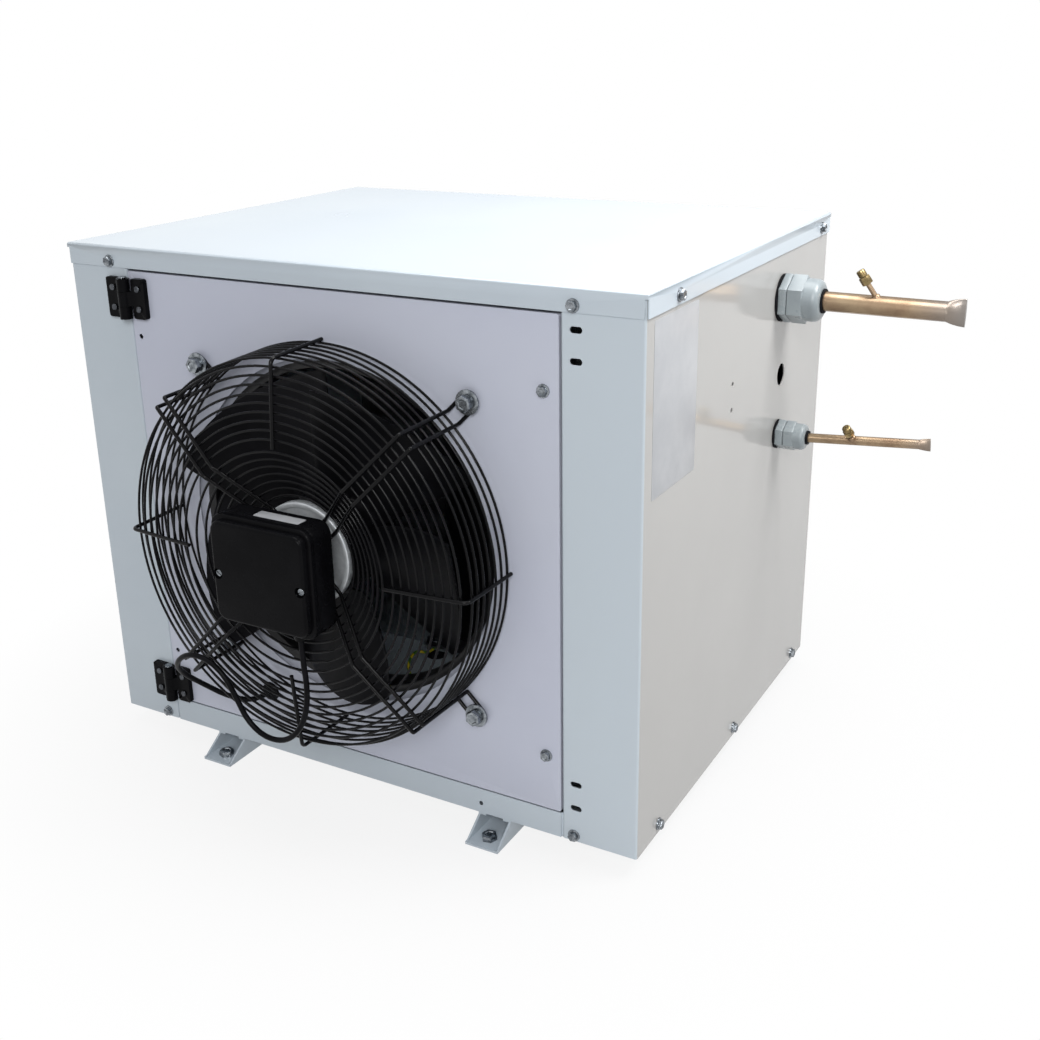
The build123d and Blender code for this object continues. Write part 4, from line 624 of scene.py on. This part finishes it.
def ring_places(sizes):
    """Radius and depth of each ring, on the inner side of the arms."""
    drop = sizes.arm_wire + sizes.ring_wire + 0.12 * MM
    face_slope = atan2(sizes.crest_depth - sizes.depth, sizes.shoulder - sizes.crest)
    cone_slope = atan2(sizes.crest_depth - sizes.hub_depth, sizes.crest - sizes.hub)
    places = []
    for step in range(sizes.side_rings):
        depth = sizes.first_ring + step * (sizes.depth - drop - sizes.first_ring) / sizes.side_rings
        places.append((wire_radius(sizes, depth) - drop, depth))
    start = sizes.shoulder - sizes.face_inset
    for step in range(sizes.face_rings):
        radius = start - step * (start - sizes.crest) / sizes.face_rings
        depth = sizes.depth + (sizes.shoulder - radius) * tan(face_slope)
        places.append((radius, depth - drop / cos(face_slope)))
    for step in range(sizes.cone_rings):
        radius = sizes.crest - (step + 0.5) * (sizes.crest - sizes.hub - 4 * MM) / sizes.cone_rings
        depth = sizes.crest_depth - (sizes.crest - radius) * tan(cone_slope)
        places.append((radius, depth - drop / cos(cone_slope)))
    return places


class UNIT_OT_wire_guard(bpy.types.Operator):
    """Rings, ribs and bent arms of the domed wire guard"""

    bl_idname = "unit.wire_guard"
    bl_label = "Wire guard"

    def execute(self, context):
        sizes = context.scene.unit_guard
        rings = []
        for radius, depth in ring_places(sizes):
            clear_selection()
            bpy.ops.mesh.primitive_torus_add(
                major_radius=radius,
                minor_radius=sizes.ring_wire,
                major_segments=160,
                minor_segments=10,
                location=FAN - Vector((0, depth, 0)),
                rotation=(pi / 2, 0, 0),
            )
            rings.append(bpy.context.object)
        dress(smooth(joined(rings), 60), "guard_ring_wires", "black_wire", "door", "guard_rings")

        low = seat(sizes)
        ribs = []
        for angle in RIB_ANGLES:
            path = [
                on_guard(angle, wire_radius(sizes, low + 2 * MM), 0, low + 2 * MM),
                on_guard(angle, sizes.shoulder, 0, sizes.depth),
                on_guard(angle, sizes.crest + 1 * MM, 0, sizes.crest_depth),
            ]
            ribs.append(bent_wire(path, 5 * MM, sizes.arm_wire))
        dress(joined(ribs), "guard_rib_wires", "black_wire", "door", "guard_ribs")

        leg = [
            (sizes.hub - 18 * MM, sizes.hub_depth),
            (sizes.hub, sizes.hub_depth),
            (sizes.crest, sizes.crest_depth),
            (sizes.shoulder, sizes.depth),
            (sizes.foot, low),
            (sizes.bolts, low),
        ]
        arms = []
        for angle in ARM_ANGLES:
            path = [on_guard(angle, radius, sizes.pitch, depth) for radius, depth in leg]
            # The eye round the bolt, as a half turn of short runs.
            for step in range(1, 12):
                turned = pi / 2 - step * pi / 12
                reach = sizes.bolts + sizes.pitch * cos(turned)
                path.append(on_guard(angle, reach, sizes.pitch * sin(turned), low))
            path += [on_guard(angle, radius, -sizes.pitch, depth) for radius, depth in reversed(leg)]
            arms.append(bent_wire(path, 5 * MM, sizes.arm_wire))
        dress(joined(arms), "guard_arm_wires", "black_wire", "door", "guard_arms")
        return {"FINISHED"}


# -------- fasteners
def bar(sides, radius, low, high):
    """A prism on the Z axis between two levels."""
    clear_selection()
    middle = (0, 0, (low + high) / 2)
    bpy.ops.mesh.primitive_cylinder_add(vertices=sides, radius=radius, depth=high - low, location=middle)
    bpy.ops.object.transform_apply(location=True)
    return bpy.context.object


def bevel_edges(piece, test, amount, segments=2):
    """Bevel the edges that pass the test."""
    edit(piece)
    select_where("edges", test)
    bpy.ops.mesh.bevel(offset=amount, segments=segments, affect="EDGES")
    return done()


def rim_bevel(piece, level, amount, segments=2):
    """Bevel the edges of a prism that lie at a level."""
    return bevel_edges(piece, lambda e: all(abs(v.co.z - level) < NEAR for v in e.verts), amount, segments)


def rise(edge):
    """The difference in level between an edge's ends."""
    return abs(edge.verts[0].co.z - edge.verts[1].co.z)


def hexagon_head(flats, low, high):
    """A hexagon head with its corners chamfered round and a shallow dimple on top."""
    head = bar(6, flats / 2 / cos(pi / 6), low, high)
    rim_bevel(head, high, flats * 0.07, 2)
    edit(head)
    select_where("faces", lambda f: f.normal.z > 0.99 and f.calc_center_median().z > high - NEAR)
    bpy.ops.mesh.inset(thickness=flats * 0.12)
    bpy.ops.mesh.inset(thickness=flats * 0.05, depth=-flats * 0.06)
    return done()


def case_screw(sizes):
    """A hexagon head with its flange and a stub of shank."""
    flange = bar(32, sizes.screw_flange, 0.0, 1.2 * MM)
    rim_bevel(flange, 1.2 * MM, 0.5 * MM)
    collar = bar(32, sizes.screw_flats * 0.52, 1.1 * MM, 1.7 * MM)
    head = hexagon_head(sizes.screw_flats, 1.2 * MM, sizes.screw_height)
    shank = bar(12, 2.4 * MM, -6 * MM, 0.1 * MM)
    return smooth(joined([flange, collar, head, shank]))


class UNIT_OT_case_screws(bpy.types.Operator):
    """Hexagon flange screws of the case, the coil and the door"""

    bl_idname = "unit.case_screws"
    bl_label = "Case screws"

    def execute(self, context):
        sizes = context.scene.unit_fasteners
        roof_level = ROOF_TOP - 12 * MM
        pan_level = CASE_FLOOR + 9 * MM
        rear_x = WALL_FACE - 15 * MM
        spots = []
        for y in (-0.172, 0.205):
            spots += [((ROOF_HIGH.x, y, roof_level), RIGHT), ((ROOF_LOW.x, y, roof_level), LEFT)]
        for y in (-0.185, 0.006, 0.193):
            spots += [((WALL_FACE, y, pan_level), RIGHT), ((-WALL_FACE, y, pan_level), LEFT)]
        spots += [((x, ROOF_LOW.y, ROOF_TOP - 14.5 * MM), FRONT) for x in (-0.248, 0.239)]
        spots += [((x, DOOR_FACE, CASE_FLOOR + 6 * MM), FRONT) for x in (-0.2425, 0.239)]
        for x in (-rear_x, rear_x):
            spots += [((x, ROOF_HIGH.y, roof_level), REAR), ((x, REAR_FACE, pan_level), REAR)]
        self.place(sizes, spots, "case_screw_heads", "case", "case_screws")

        levels = (0.06, 0.25, 0.44)
        spots = [((x, REAR_FACE, CASE_FLOOR + z), REAR) for x in (-rear_x, rear_x) for z in levels]
        self.place(sizes, spots, "coil_screw_heads", "case", "coil_screws")

        spots = [((DOOR_HIGH.x - 14 * MM, DOOR_FACE, CASE_FLOOR + z), FRONT) for z in (0.0803, 0.4124)]
        self.place(sizes, spots, "door_screw_heads", "door", "door_screws")
        return {"FINISHED"}

    def place(self, sizes, spots, name, body, node):
        """Copy the screw to its spots, each turned a little differently."""
        places = [facing(spot, outward, index * 0.61) for index, (spot, outward) in enumerate(spots)]
        dress(copies(case_screw(sizes), places), name, "zinc", body, node)


def washer(radius, hole, low, high):
    """A flat ring with softened edges."""
    ring = bar(48, radius, low, high)
    edit(ring)
    select_where("faces", lambda f: abs(f.normal.z) > 0.99)
    bpy.ops.mesh.inset(thickness=radius - hole)
    bpy.ops.mesh.bridge_edge_loops()
    done()

    def outer(edge):
        return rise(edge) < NEAR and all(v.co.xy.length > radius - NEAR for v in edge.verts)

    return bevel_edges(ring, outer, 0.3 * MM)


def bolt_with_washers(sizes):
    """An M8 hexagon bolt on a spring washer and a plain one."""
    plain = washer(sizes.washer, 4.2 * MM, 0.0, 1.6 * MM)
    spring = washer(6.6 * MM, 4.1 * MM, 1.65 * MM, 3.5 * MM)
    head = hexagon_head(sizes.bolt_flats, 3.55 * MM, 3.55 * MM + sizes.bolt_height)
    shank = bar(24, 4 * MM, -13 * MM, 3.6 * MM)
    return smooth(joined([plain, spring, head, shank]))


class UNIT_OT_bolts(bpy.types.Operator):
    """M8 bolts of the wire guard and of the feet"""

    bl_idname = "unit.bolts"
    bl_label = "Guard and foot bolts"

    def execute(self, context):
        sizes, guard = context.scene.unit_fasteners, context.scene.unit_guard
        face = 2 * guard.arm_wire + 0.4 * MM
        places = [facing(on_guard(angle, guard.bolts, 0, face), FRONT, angle * 0.05) for angle in ARM_ANGLES]
        dress(copies(bolt_with_washers(sizes), places), "guard_bolt_set", "zinc", "door", "guard_bolts")

        rails_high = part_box("foot_rails")[1]
        x, y = rails_high.x - 17 * MM, rails_high.y - 15 * MM
        head = hexagon_head(sizes.bolt_flats, 2.05 * MM, 2.05 * MM + sizes.bolt_height)
        bolt = smooth(joined([head, bar(24, 4 * MM, 0.2 * MM, 2.2 * MM)]))
        spots = [(-x, -y, 0), (x, -y, 0), (-x, y, 0), (x, y, 0)]
        places = [facing(spot, UP, index * 0.47 + 0.2) for index, spot in enumerate(spots)]
        dress(copies(bolt, places), "foot_bolt_heads", "zinc", "case")
        return {"FINISHED"}


# -------- terminal box
def rounded_block(width, height, corner, low, high):
    """A block with rounded upright edges between two levels."""
    clear_selection()
    middle = (0, 0, (low + high) / 2)
    bpy.ops.mesh.primitive_cube_add(size=1, location=middle, scale=(width, height, high - low))
    bpy.ops.object.transform_apply()
    return bevel_edges(bpy.context.object, lambda e: rise(e) > (high - low) / 2, corner, 10)


def cut(piece, tool):
    """Take the tool's shape out of the piece."""
    hollow = piece.modifiers.new("cut", "BOOLEAN")
    hollow.object = tool
    hollow.solver = "EXACT"
    pick(piece)
    bpy.ops.object.modifier_apply(modifier=hollow.name)
    bpy.data.objects.remove(tool)
    return piece


def blank_plate(width, height, corner, thick):
    """A thin plate with rounded corners and a softened rim."""
    plate = rounded_block(width, height, corner, 0.0, thick)
    rim_bevel(plate, thick, thick * 0.4)
    return smooth(plate)


class UNIT_OT_terminal_box(bpy.types.Operator):
    """Moulded terminal box with a stepped lid, on the front of the motor"""

    bl_idname = "unit.terminal_box"
    bl_label = "Terminal box"

    def execute(self, context):
        sizes = context.scene.unit_box
        tray = rounded_block(sizes.width, sizes.height, sizes.corner, sizes.back, sizes.split)
        rim_bevel(tray, sizes.back, 3 * MM, 4)
        rim_bevel(tray, sizes.split, 0.5 * MM, 2)
        neck = bar(64, 25 * MM, sizes.neck, sizes.back + 1 * MM)
        core = bar(48, 19 * MM, sizes.neck - 12 * MM, sizes.neck + 1 * MM)
        box = smooth(joined([tray, neck, core]), 40)
        self.place(box, "terminal_box_tray", "black_plastic", "terminal_box_base")

        rim = rounded_block(sizes.width, sizes.height, sizes.corner, sizes.split + 0.4 * MM, sizes.rim)
        rim_bevel(rim, sizes.rim, 1.4 * MM, 4)
        width, height = sizes.width - 7 * MM, sizes.height - 7 * MM
        lid = rounded_block(width, height, sizes.corner - 2 * MM, sizes.rim - 1 * MM, sizes.face)
        edit(lid)
        select_where("verts", lambda v: v.co.z > sizes.face - NEAR)
        bpy.ops.transform.resize(value=(0.985, 0.985, 1), center_override=(0, 0, sizes.face))
        done()
        rim_bevel(lid, sizes.face, 2.4 * MM, 5)
        screws = []
        for side in (-1, 1):
            shift = Matrix.Translation((side * sizes.screw_x, sizes.screw_z, 0))
            pocket = bar(40, 4.8 * MM, sizes.face - 4.2 * MM, sizes.face + 2 * MM)
            pocket.data.transform(shift)
            cut(lid, pocket)
            head = bar(32, 3.5 * MM, sizes.face - 4.1 * MM, sizes.face - 1.6 * MM)
            rim_bevel(head, sizes.face - 1.6 * MM, 0.9 * MM, 4)
            slot = rounded_block(9 * MM, 0.9 * MM, 0.1 * MM, sizes.face - 2.9 * MM, sizes.face)
            cut(head, slot)
            head.data.transform(shift @ Matrix.Rotation(0.6 * side, 4, "Z"))
            screws.append(head)
        cover = smooth(joined([rim, lid]), 40)
        self.place(cover, "terminal_box_lid", "black_plastic", "terminal_box_cover")
        self.place(smooth(joined(screws)), "terminal_box_screws", "zinc", "box_screws")

        plate = blank_plate(48 * MM, 12 * MM, 1 * MM, 0.3 * MM)
        spot = FAN + Vector((10 * MM, -sizes.back - 15 * MM, sizes.height / 2))
        plate.data.transform(facing(spot, UP))
        dress(plate, "terminal_box_blank_plate", "label_film", "door")
        return {"FINISHED"}

    def place(self, piece, name, slot, node):
        """Turn a part of the box to face out of the door."""
        piece.data.transform(facing(FAN, FRONT))
        dress(piece, name, slot, "door", node)


class UNIT_OT_wall_plate(bpy.types.Operator):
    """Blank plate on the right wall"""

    bl_idname = "unit.wall_plate"
    bl_label = "Wall plate"

    def execute(self, context):
        plate = blank_plate(90 * MM, 146 * MM, 2 * MM, 0.25 * MM)
        plate.data.transform(facing((WALL_FACE, -172 * MM, CASE_FLOOR + 401 * MM), RIGHT))
        dress(plate, "wall_blank_plate", "label_film", "case")
        return {"FINISHED"}


# -------- fittings on the tubes
def on_wall(node, out=0.0, up=0.0):
    """The place on the right wall at a fitting's axis."""
    middle = middle_of(node)
    return Vector((WALL_FACE + out, middle.y, middle.z + up))


class UNIT_OT_glands(bpy.types.Operator):
    """Nylon glands where the tubes leave the right wall"""

    bl_idname = "unit.glands"
    bl_label = "Glands"

    def execute(self, context):
        sizes = context.scene.unit_fittings
        collars, nuts, rings, gaskets = [], [], [], []
        for node, flats, nut, tube in (
            ("suction_gland_body", sizes.suction_flats, sizes.suction_nut, sizes.suction_tube),
            ("liquid_gland_body", sizes.liquid_flats, sizes.liquid_nut, sizes.liquid_tube),
        ):
            place = facing(on_wall(node), RIGHT)
            foot, shoulder = sizes.gasket, sizes.gasket + sizes.collar
            corner = flats / 2 / cos(pi / 6)

            collar = bar(6, corner, foot, shoulder)
            rim_bevel(collar, foot, 0.8 * MM)
            rim_bevel(collar, shoulder, 0.8 * MM)
            waist = bar(48, flats * 0.42, -14 * MM, shoulder + 1 * MM)
            collars += [self.bored(part, tube + 0.4 * MM, place) for part in (collar, waist)]

            grip = bar(6, corner, shoulder + 0.9 * MM, shoulder + nut * 0.5)
            rim_bevel(grip, shoulder + nut * 0.5, 1.6 * MM, 3)
            drum = bar(64, flats * 0.497, shoulder + 0.7 * MM, shoulder + nut)
            rim_bevel(drum, shoulder + nut, flats * 0.17, 7)
            nuts += [self.bored(part, tube + 2.2 * MM, place) for part in (grip, drum)]

            ring = bar(48, tube + 2.1 * MM, shoulder + nut * 0.5, shoulder + nut + 2 * MM)
            rings.append(self.bored(ring, tube + 0.2 * MM, place))
            gasket = bar(64, corner * 0.97, 0.05 * MM, foot - 0.05 * MM)
            gaskets.append(self.bored(gasket, flats * 0.43, place))
        for group, name, slot, nodes in (
            (collars, "gland_collars", "grey_plastic", ("suction_gland_body", "liquid_gland_body")),
            (nuts, "gland_dome_nuts", "grey_plastic", ("suction_gland_nut", "liquid_gland_nut")),
            (rings, "gland_seal_rings", "black_rubber", ("gland_seals",)),
            (gaskets, "gland_flat_gaskets", "black_rubber", ("gland_gaskets",)),
        ):
            dress(smooth(joined(group), 40), name, slot, "case", *nodes)
        return {"FINISHED"}

    def bored(self, piece, radius, place):
        """Drill the piece along its axis and move it to its place on the wall."""
        cut(piece, bar(48, radius, -60 * MM, 90 * MM))
        piece.data.transform(place)
        return piece


class UNIT_OT_valves(bpy.types.Operator):
    """Capped charging valves, brazed into the tubes"""

    bl_idname = "unit.valves"
    bl_label = "Valves"

    def execute(self, context):
        sizes = context.scene.unit_fittings
        suction = on_wall("suction_gland_body", 95 * MM)
        liquid = on_wall("liquid_gland_body", 77 * MM, 3.3 * MM)
        stems, caps = [], []
        for seat_at, lean, tube, top, cap_length in (
            (suction, (-20, -4, 30), sizes.suction_tube, 39 * MM, 15 * MM),
            (liquid, (-6, -16, 20), sizes.liquid_tube, 21 * MM, 11 * MM),
        ):
            place = facing(seat_at, lean)
            stem = bar(24, sizes.stem, tube * 0.6, top - cap_length + 2 * MM)
            braze = bar(24, sizes.stem + 1.6 * MM, tube * 0.7, tube + 2.2 * MM)
            rim_bevel(braze, tube + 2.2 * MM, 1.5 * MM, 3)
            stems.append(joined([stem, braze]))
            stems[-1].data.transform(place)
            shoulder = top - cap_length * 0.45
            body = bar(6, sizes.cap_flats / 2 / cos(pi / 6), top - cap_length, shoulder)
            rim_bevel(body, top - cap_length, 0.8 * MM)
            rim_bevel(body, shoulder, 0.8 * MM)
            cap = bar(20, sizes.cap_flats * 0.46, top - cap_length * 0.42, top)
            rim_bevel(cap, top, 1.3 * MM, 3)
            neck = bar(20, sizes.cap_flats * 0.36, top - cap_length * 0.5, top - cap_length * 0.4)
            caps.append(joined([body, cap, neck]))
            caps[-1].data.transform(place)
        dress(smooth(joined(stems), 40), "valve_stem_tubes", "copper", "case", "service_valves")
        dress(smooth(joined(caps), 30), "valve_brass_caps", "brass", "case", "valve_caps")
        return {"FINISHED"}


# -------- coil
class UNIT_OT_fin_pack(bpy.types.Operator):
    """Thin fins on the coil's tubes, across the rear of the case"""

    bl_idname = "unit.fin_pack"
    bl_label = "Fin pack"

    def execute(self, context):
        sizes = context.scene.unit_coil
        low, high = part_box("coil_fins")
        middle = (low + high) / 2
        size = high - low
        clear_selection()
        bpy.ops.mesh.primitive_cube_add(
            size=1, location=(low.x + sizes.fin / 2, middle.y, middle.z), scale=(sizes.fin, size.y, size.z)
        )
        bpy.ops.object.transform_apply()
        # A rolled edge on both faces of the fin.
        fin = bevel_edges(bpy.context.object, lambda e: rise(e) > size.z / 2, sizes.fin * 0.3, 1)
        row = fin.modifiers.new("fins", "ARRAY")
        row.count = int(size.x / sizes.pitch)
        row.use_relative_offset = False
        row.use_constant_offset = True
        row.constant_offset_displace = ((size.x - sizes.fin) / (row.count - 1), 0, 0)
        bpy.ops.object.modifier_apply(modifier=row.name)
        dress(bpy.context.object, "coil_fin_sheets", "fin_aluminium", "case", "coil_fins")

        tubes_high = 12
        places = [
            facing((0, middle.y + side * 11 * MM, low.z + (step + 0.5) * size.z / tubes_high), RIGHT)
            for side in (-1, 1)
            for step in range(tubes_high)
        ]
        tubes = copies(bar(20, sizes.tube, low.x, high.x), places)
        dress(smooth(tubes), "coil_tube_runs", "copper", "case")
        return {"FINISHED"}


# -------- nodes that keep their shape
# Solids that another piece stands for, or whose faces are all flat, are only painted.
ONLY_PAINTED = {
    "motor_lead", "earth_wire", "guard_rings", "guard_ribs", "guard_arms", "guard_bolts", "case_screws",
    "coil_screws", "door_screws", "coil_fins", "terminal_box_base", "terminal_box_cover", "box_screws",
    "service_valves", "valve_caps", "suction_gland_body", "suction_gland_nut", "liquid_gland_body",
    "liquid_gland_nut", "gland_seals", "gland_gaskets", "coil_end_plates", "gland_locknuts",
}
DARK_SCREWS = {"hinge_screws_post", "hinge_screws_door"}


class UNIT_OT_solids(bpy.types.Operator):
    """Paint every solid, and smooth those with round faces"""

    bl_idname = "unit.solids"
    bl_label = "Solids"

    def execute(self, context):
        for entry in frame["record"]["subparts"]:
            name, slot = entry["node"], entry["material_slot"]
            node = NODES[name]
            node.data.materials.clear()
            node.data.materials.append(surface(slot))
            if name not in ONLY_PAINTED:
                self.smoothed(node, name, slot)
        return {"FINISHED"}

    def smoothed(self, node, name, slot):
        """A merged copy whose flat faces stay flat and whose bends and rounds shade smoothly."""
        copy = duplicate(node)
        for key in list(copy.keys()):
            del copy[key]
        copy.parent = None
        edit(copy)
        bpy.ops.mesh.select_all(action="SELECT")
        bpy.ops.mesh.remove_doubles(threshold=0.002 * MM)
        done()
        smooth(copy, 32)
        weigh = copy.modifiers.new("flat_faces_first", "WEIGHTED_NORMAL")
        weigh.keep_sharp = True
        weigh.weight = 100
        bpy.ops.object.modifier_apply(modifier=weigh.name)
        dark = name in DARK_SCREWS
        dress(copy, name + "_shell", "dark_screw" if dark else slot, BODY_OF[name], name)


# -------- stage
def lamp(name, place, target, side, watts):
    """A soft square lamp that looks at the target."""
    clear_selection()
    bpy.ops.object.light_add(type="AREA", location=place)
    light = bpy.context.object
    light.name = name
    light.rotation_euler = (Vector(target) - Vector(place)).to_track_quat("-Z", "Y").to_euler()
    light.data.size = side
    light.data.energy = watts


class UNIT_OT_stage(bpy.types.Operator):
    """Camera, pale floor, sky and soft lamps"""

    bl_idname = "unit.stage"
    bl_label = "Stage"

    def execute(self, context):
        sizes = context.scene.unit_stage
        clear_selection()
        azimuth, elevation, roll = radians(29.56), radians(19.9), radians(-1.0)
        tilt = Matrix.Rotation(pi / 2 - elevation, 3, "X") @ Matrix.Rotation(roll, 3, "Z")
        turn = (Matrix.Rotation(azimuth, 3, "Z") @ tilt).to_euler()
        bpy.ops.object.camera_add(location=(0.6809, -1.1083, 0.7077), rotation=turn)
        camera = context.object
        camera.name = "unit_camera"
        camera.data.sensor_width = 36
        camera.data.lens = 44.81
        camera.data.shift_x = 0.0053
        camera.data.shift_y = -0.0277
        context.scene.camera = camera

        bpy.ops.mesh.primitive_plane_add(size=sizes.floor, location=(0, 0, 0))
        ground = context.object
        ground.name = "studio_floor"
        dull = {"Roughness": 0.9, "Specular IOR Level": 0.1}
        material, tree, shader, place = new_surface("studio_floor_paint", **dull)
        tone = mixed(tree, noise(tree, place, 500.0, 2.0), srgb("cdcdcd"), srgb("c8c8c9"))
        tree.links.new(tone, shader.inputs["Base Color"])
        # Near the unit the floor shows its shadow; further off it is as white as the sky.
        away = add(tree, "ShaderNodeVectorMath", {0: place}, operation="LENGTH").outputs["Value"]
        share = result(tree, "MULTIPLY", ramp(tree, away, 0.3, 0.6, 0.85), self.looked_at(tree))
        glow = add(tree, "ShaderNodeEmission", {"Color": srgb("ffffff"), "Strength": 1.0}).outputs["Emission"]
        blend = add(tree, "ShaderNodeMixShader", {0: share, 1: shader.outputs["BSDF"], 2: glow})
        end = next(node for node in tree.nodes if node.type == "OUTPUT_MATERIAL")
        tree.links.new(blend.outputs["Shader"], end.inputs["Surface"])
        ground.data.materials.append(material)

        world = bpy.data.worlds.new("studio_sky")
        context.scene.world = world
        world.use_nodes = True
        sky = world.node_tree
        sky.nodes.clear()
        strength = ramp(sky, self.looked_at(sky), 0, 1, sizes.sky, 1.0)
        air = add(sky, "ShaderNodeBackground", {"Color": srgb("ffffff"), "Strength": strength})
        add(sky, "ShaderNodeOutputWorld", {"Surface": air.outputs["Background"]})

        middle = (0, 0, 0.27)
        lamp("key_softbox", (1.3, -2.5, 1.7), middle, 1.0, sizes.key)
        lamp("fill_softbox", (0.85, 0.1, 1.2), (0.3, 0, 0.5), 0.5, sizes.fill)
        lamp("top_softbox", (0.0, 0.2, 2.6), middle, 1.6, sizes.top)
        context.scene.view_settings.view_transform = "Standard"
        return {"FINISHED"}

    def looked_at(self, tree):
        """1 where the camera, a reflection or a clear thing looks, and 0 for light on the object."""
        ray = add(tree, "ShaderNodeLightPath").outputs
        direct = result(tree, "MAXIMUM", ray["Is Camera Ray"], ray["Is Transmission Ray"])
        return result(tree, "MAXIMUM", direct, ray["Is Glossy Ray"])


# -------- panel and registration
BUILD_STEPS = (
    UNIT_OT_stage,
    UNIT_OT_cables,
    UNIT_OT_solids,
    UNIT_OT_wire_guard,
    UNIT_OT_case_screws,
    UNIT_OT_bolts,
    UNIT_OT_terminal_box,
    UNIT_OT_wall_plate,
    UNIT_OT_glands,
    UNIT_OT_valves,
    UNIT_OT_fin_pack,
)
SETTINGS = {
    "unit_guard": GuardSizes,
    "unit_fasteners": FastenerSizes,
    "unit_box": BoxSizes,
    "unit_fittings": FittingSizes,
    "unit_coil": CoilSizes,
    "unit_finishes": Finishes,
    "unit_stage": StageSizes,
}


class UNIT_PT_looks(bpy.types.Panel):
    """The steps that build the unit's looks"""

    bl_idname = "UNIT_PT_looks"
    bl_label = "Condensing unit"
    bl_space_type = "VIEW_3D"
    bl_region_type = "UI"
    bl_category = "Condensing unit"

    def draw(self, context):
        for step in BUILD_STEPS:
            self.layout.operator(step.bl_idname)
        for name in SETTINGS:
            box = self.layout.box()
            group = getattr(context.scene, name)
            for field in group.bl_rna.properties:
                if field.identifier not in {"rna_type", "name"}:
                    box.prop(group, field.identifier)


CLASSES = (*SETTINGS.values(), *BUILD_STEPS, UNIT_PT_looks)


def register():
    """Register the settings, the operators and the panel."""
    for kind in CLASSES:
        bpy.utils.register_class(kind)
    for name, group in SETTINGS.items():
        setattr(bpy.types.Scene, name, bpy.props.PointerProperty(type=group))


def unregister():
    """Remove what register added."""
    for name in SETTINGS:
        delattr(bpy.types.Scene, name)
    for kind in reversed(CLASSES):
        bpy.utils.unregister_class(kind)


def main():
    register()
    for step in BUILD_STEPS:
        group, action = step.bl_idname.split(".")
        getattr(getattr(bpy.ops, group), action)()


if __name__ == "__main__":
    main()
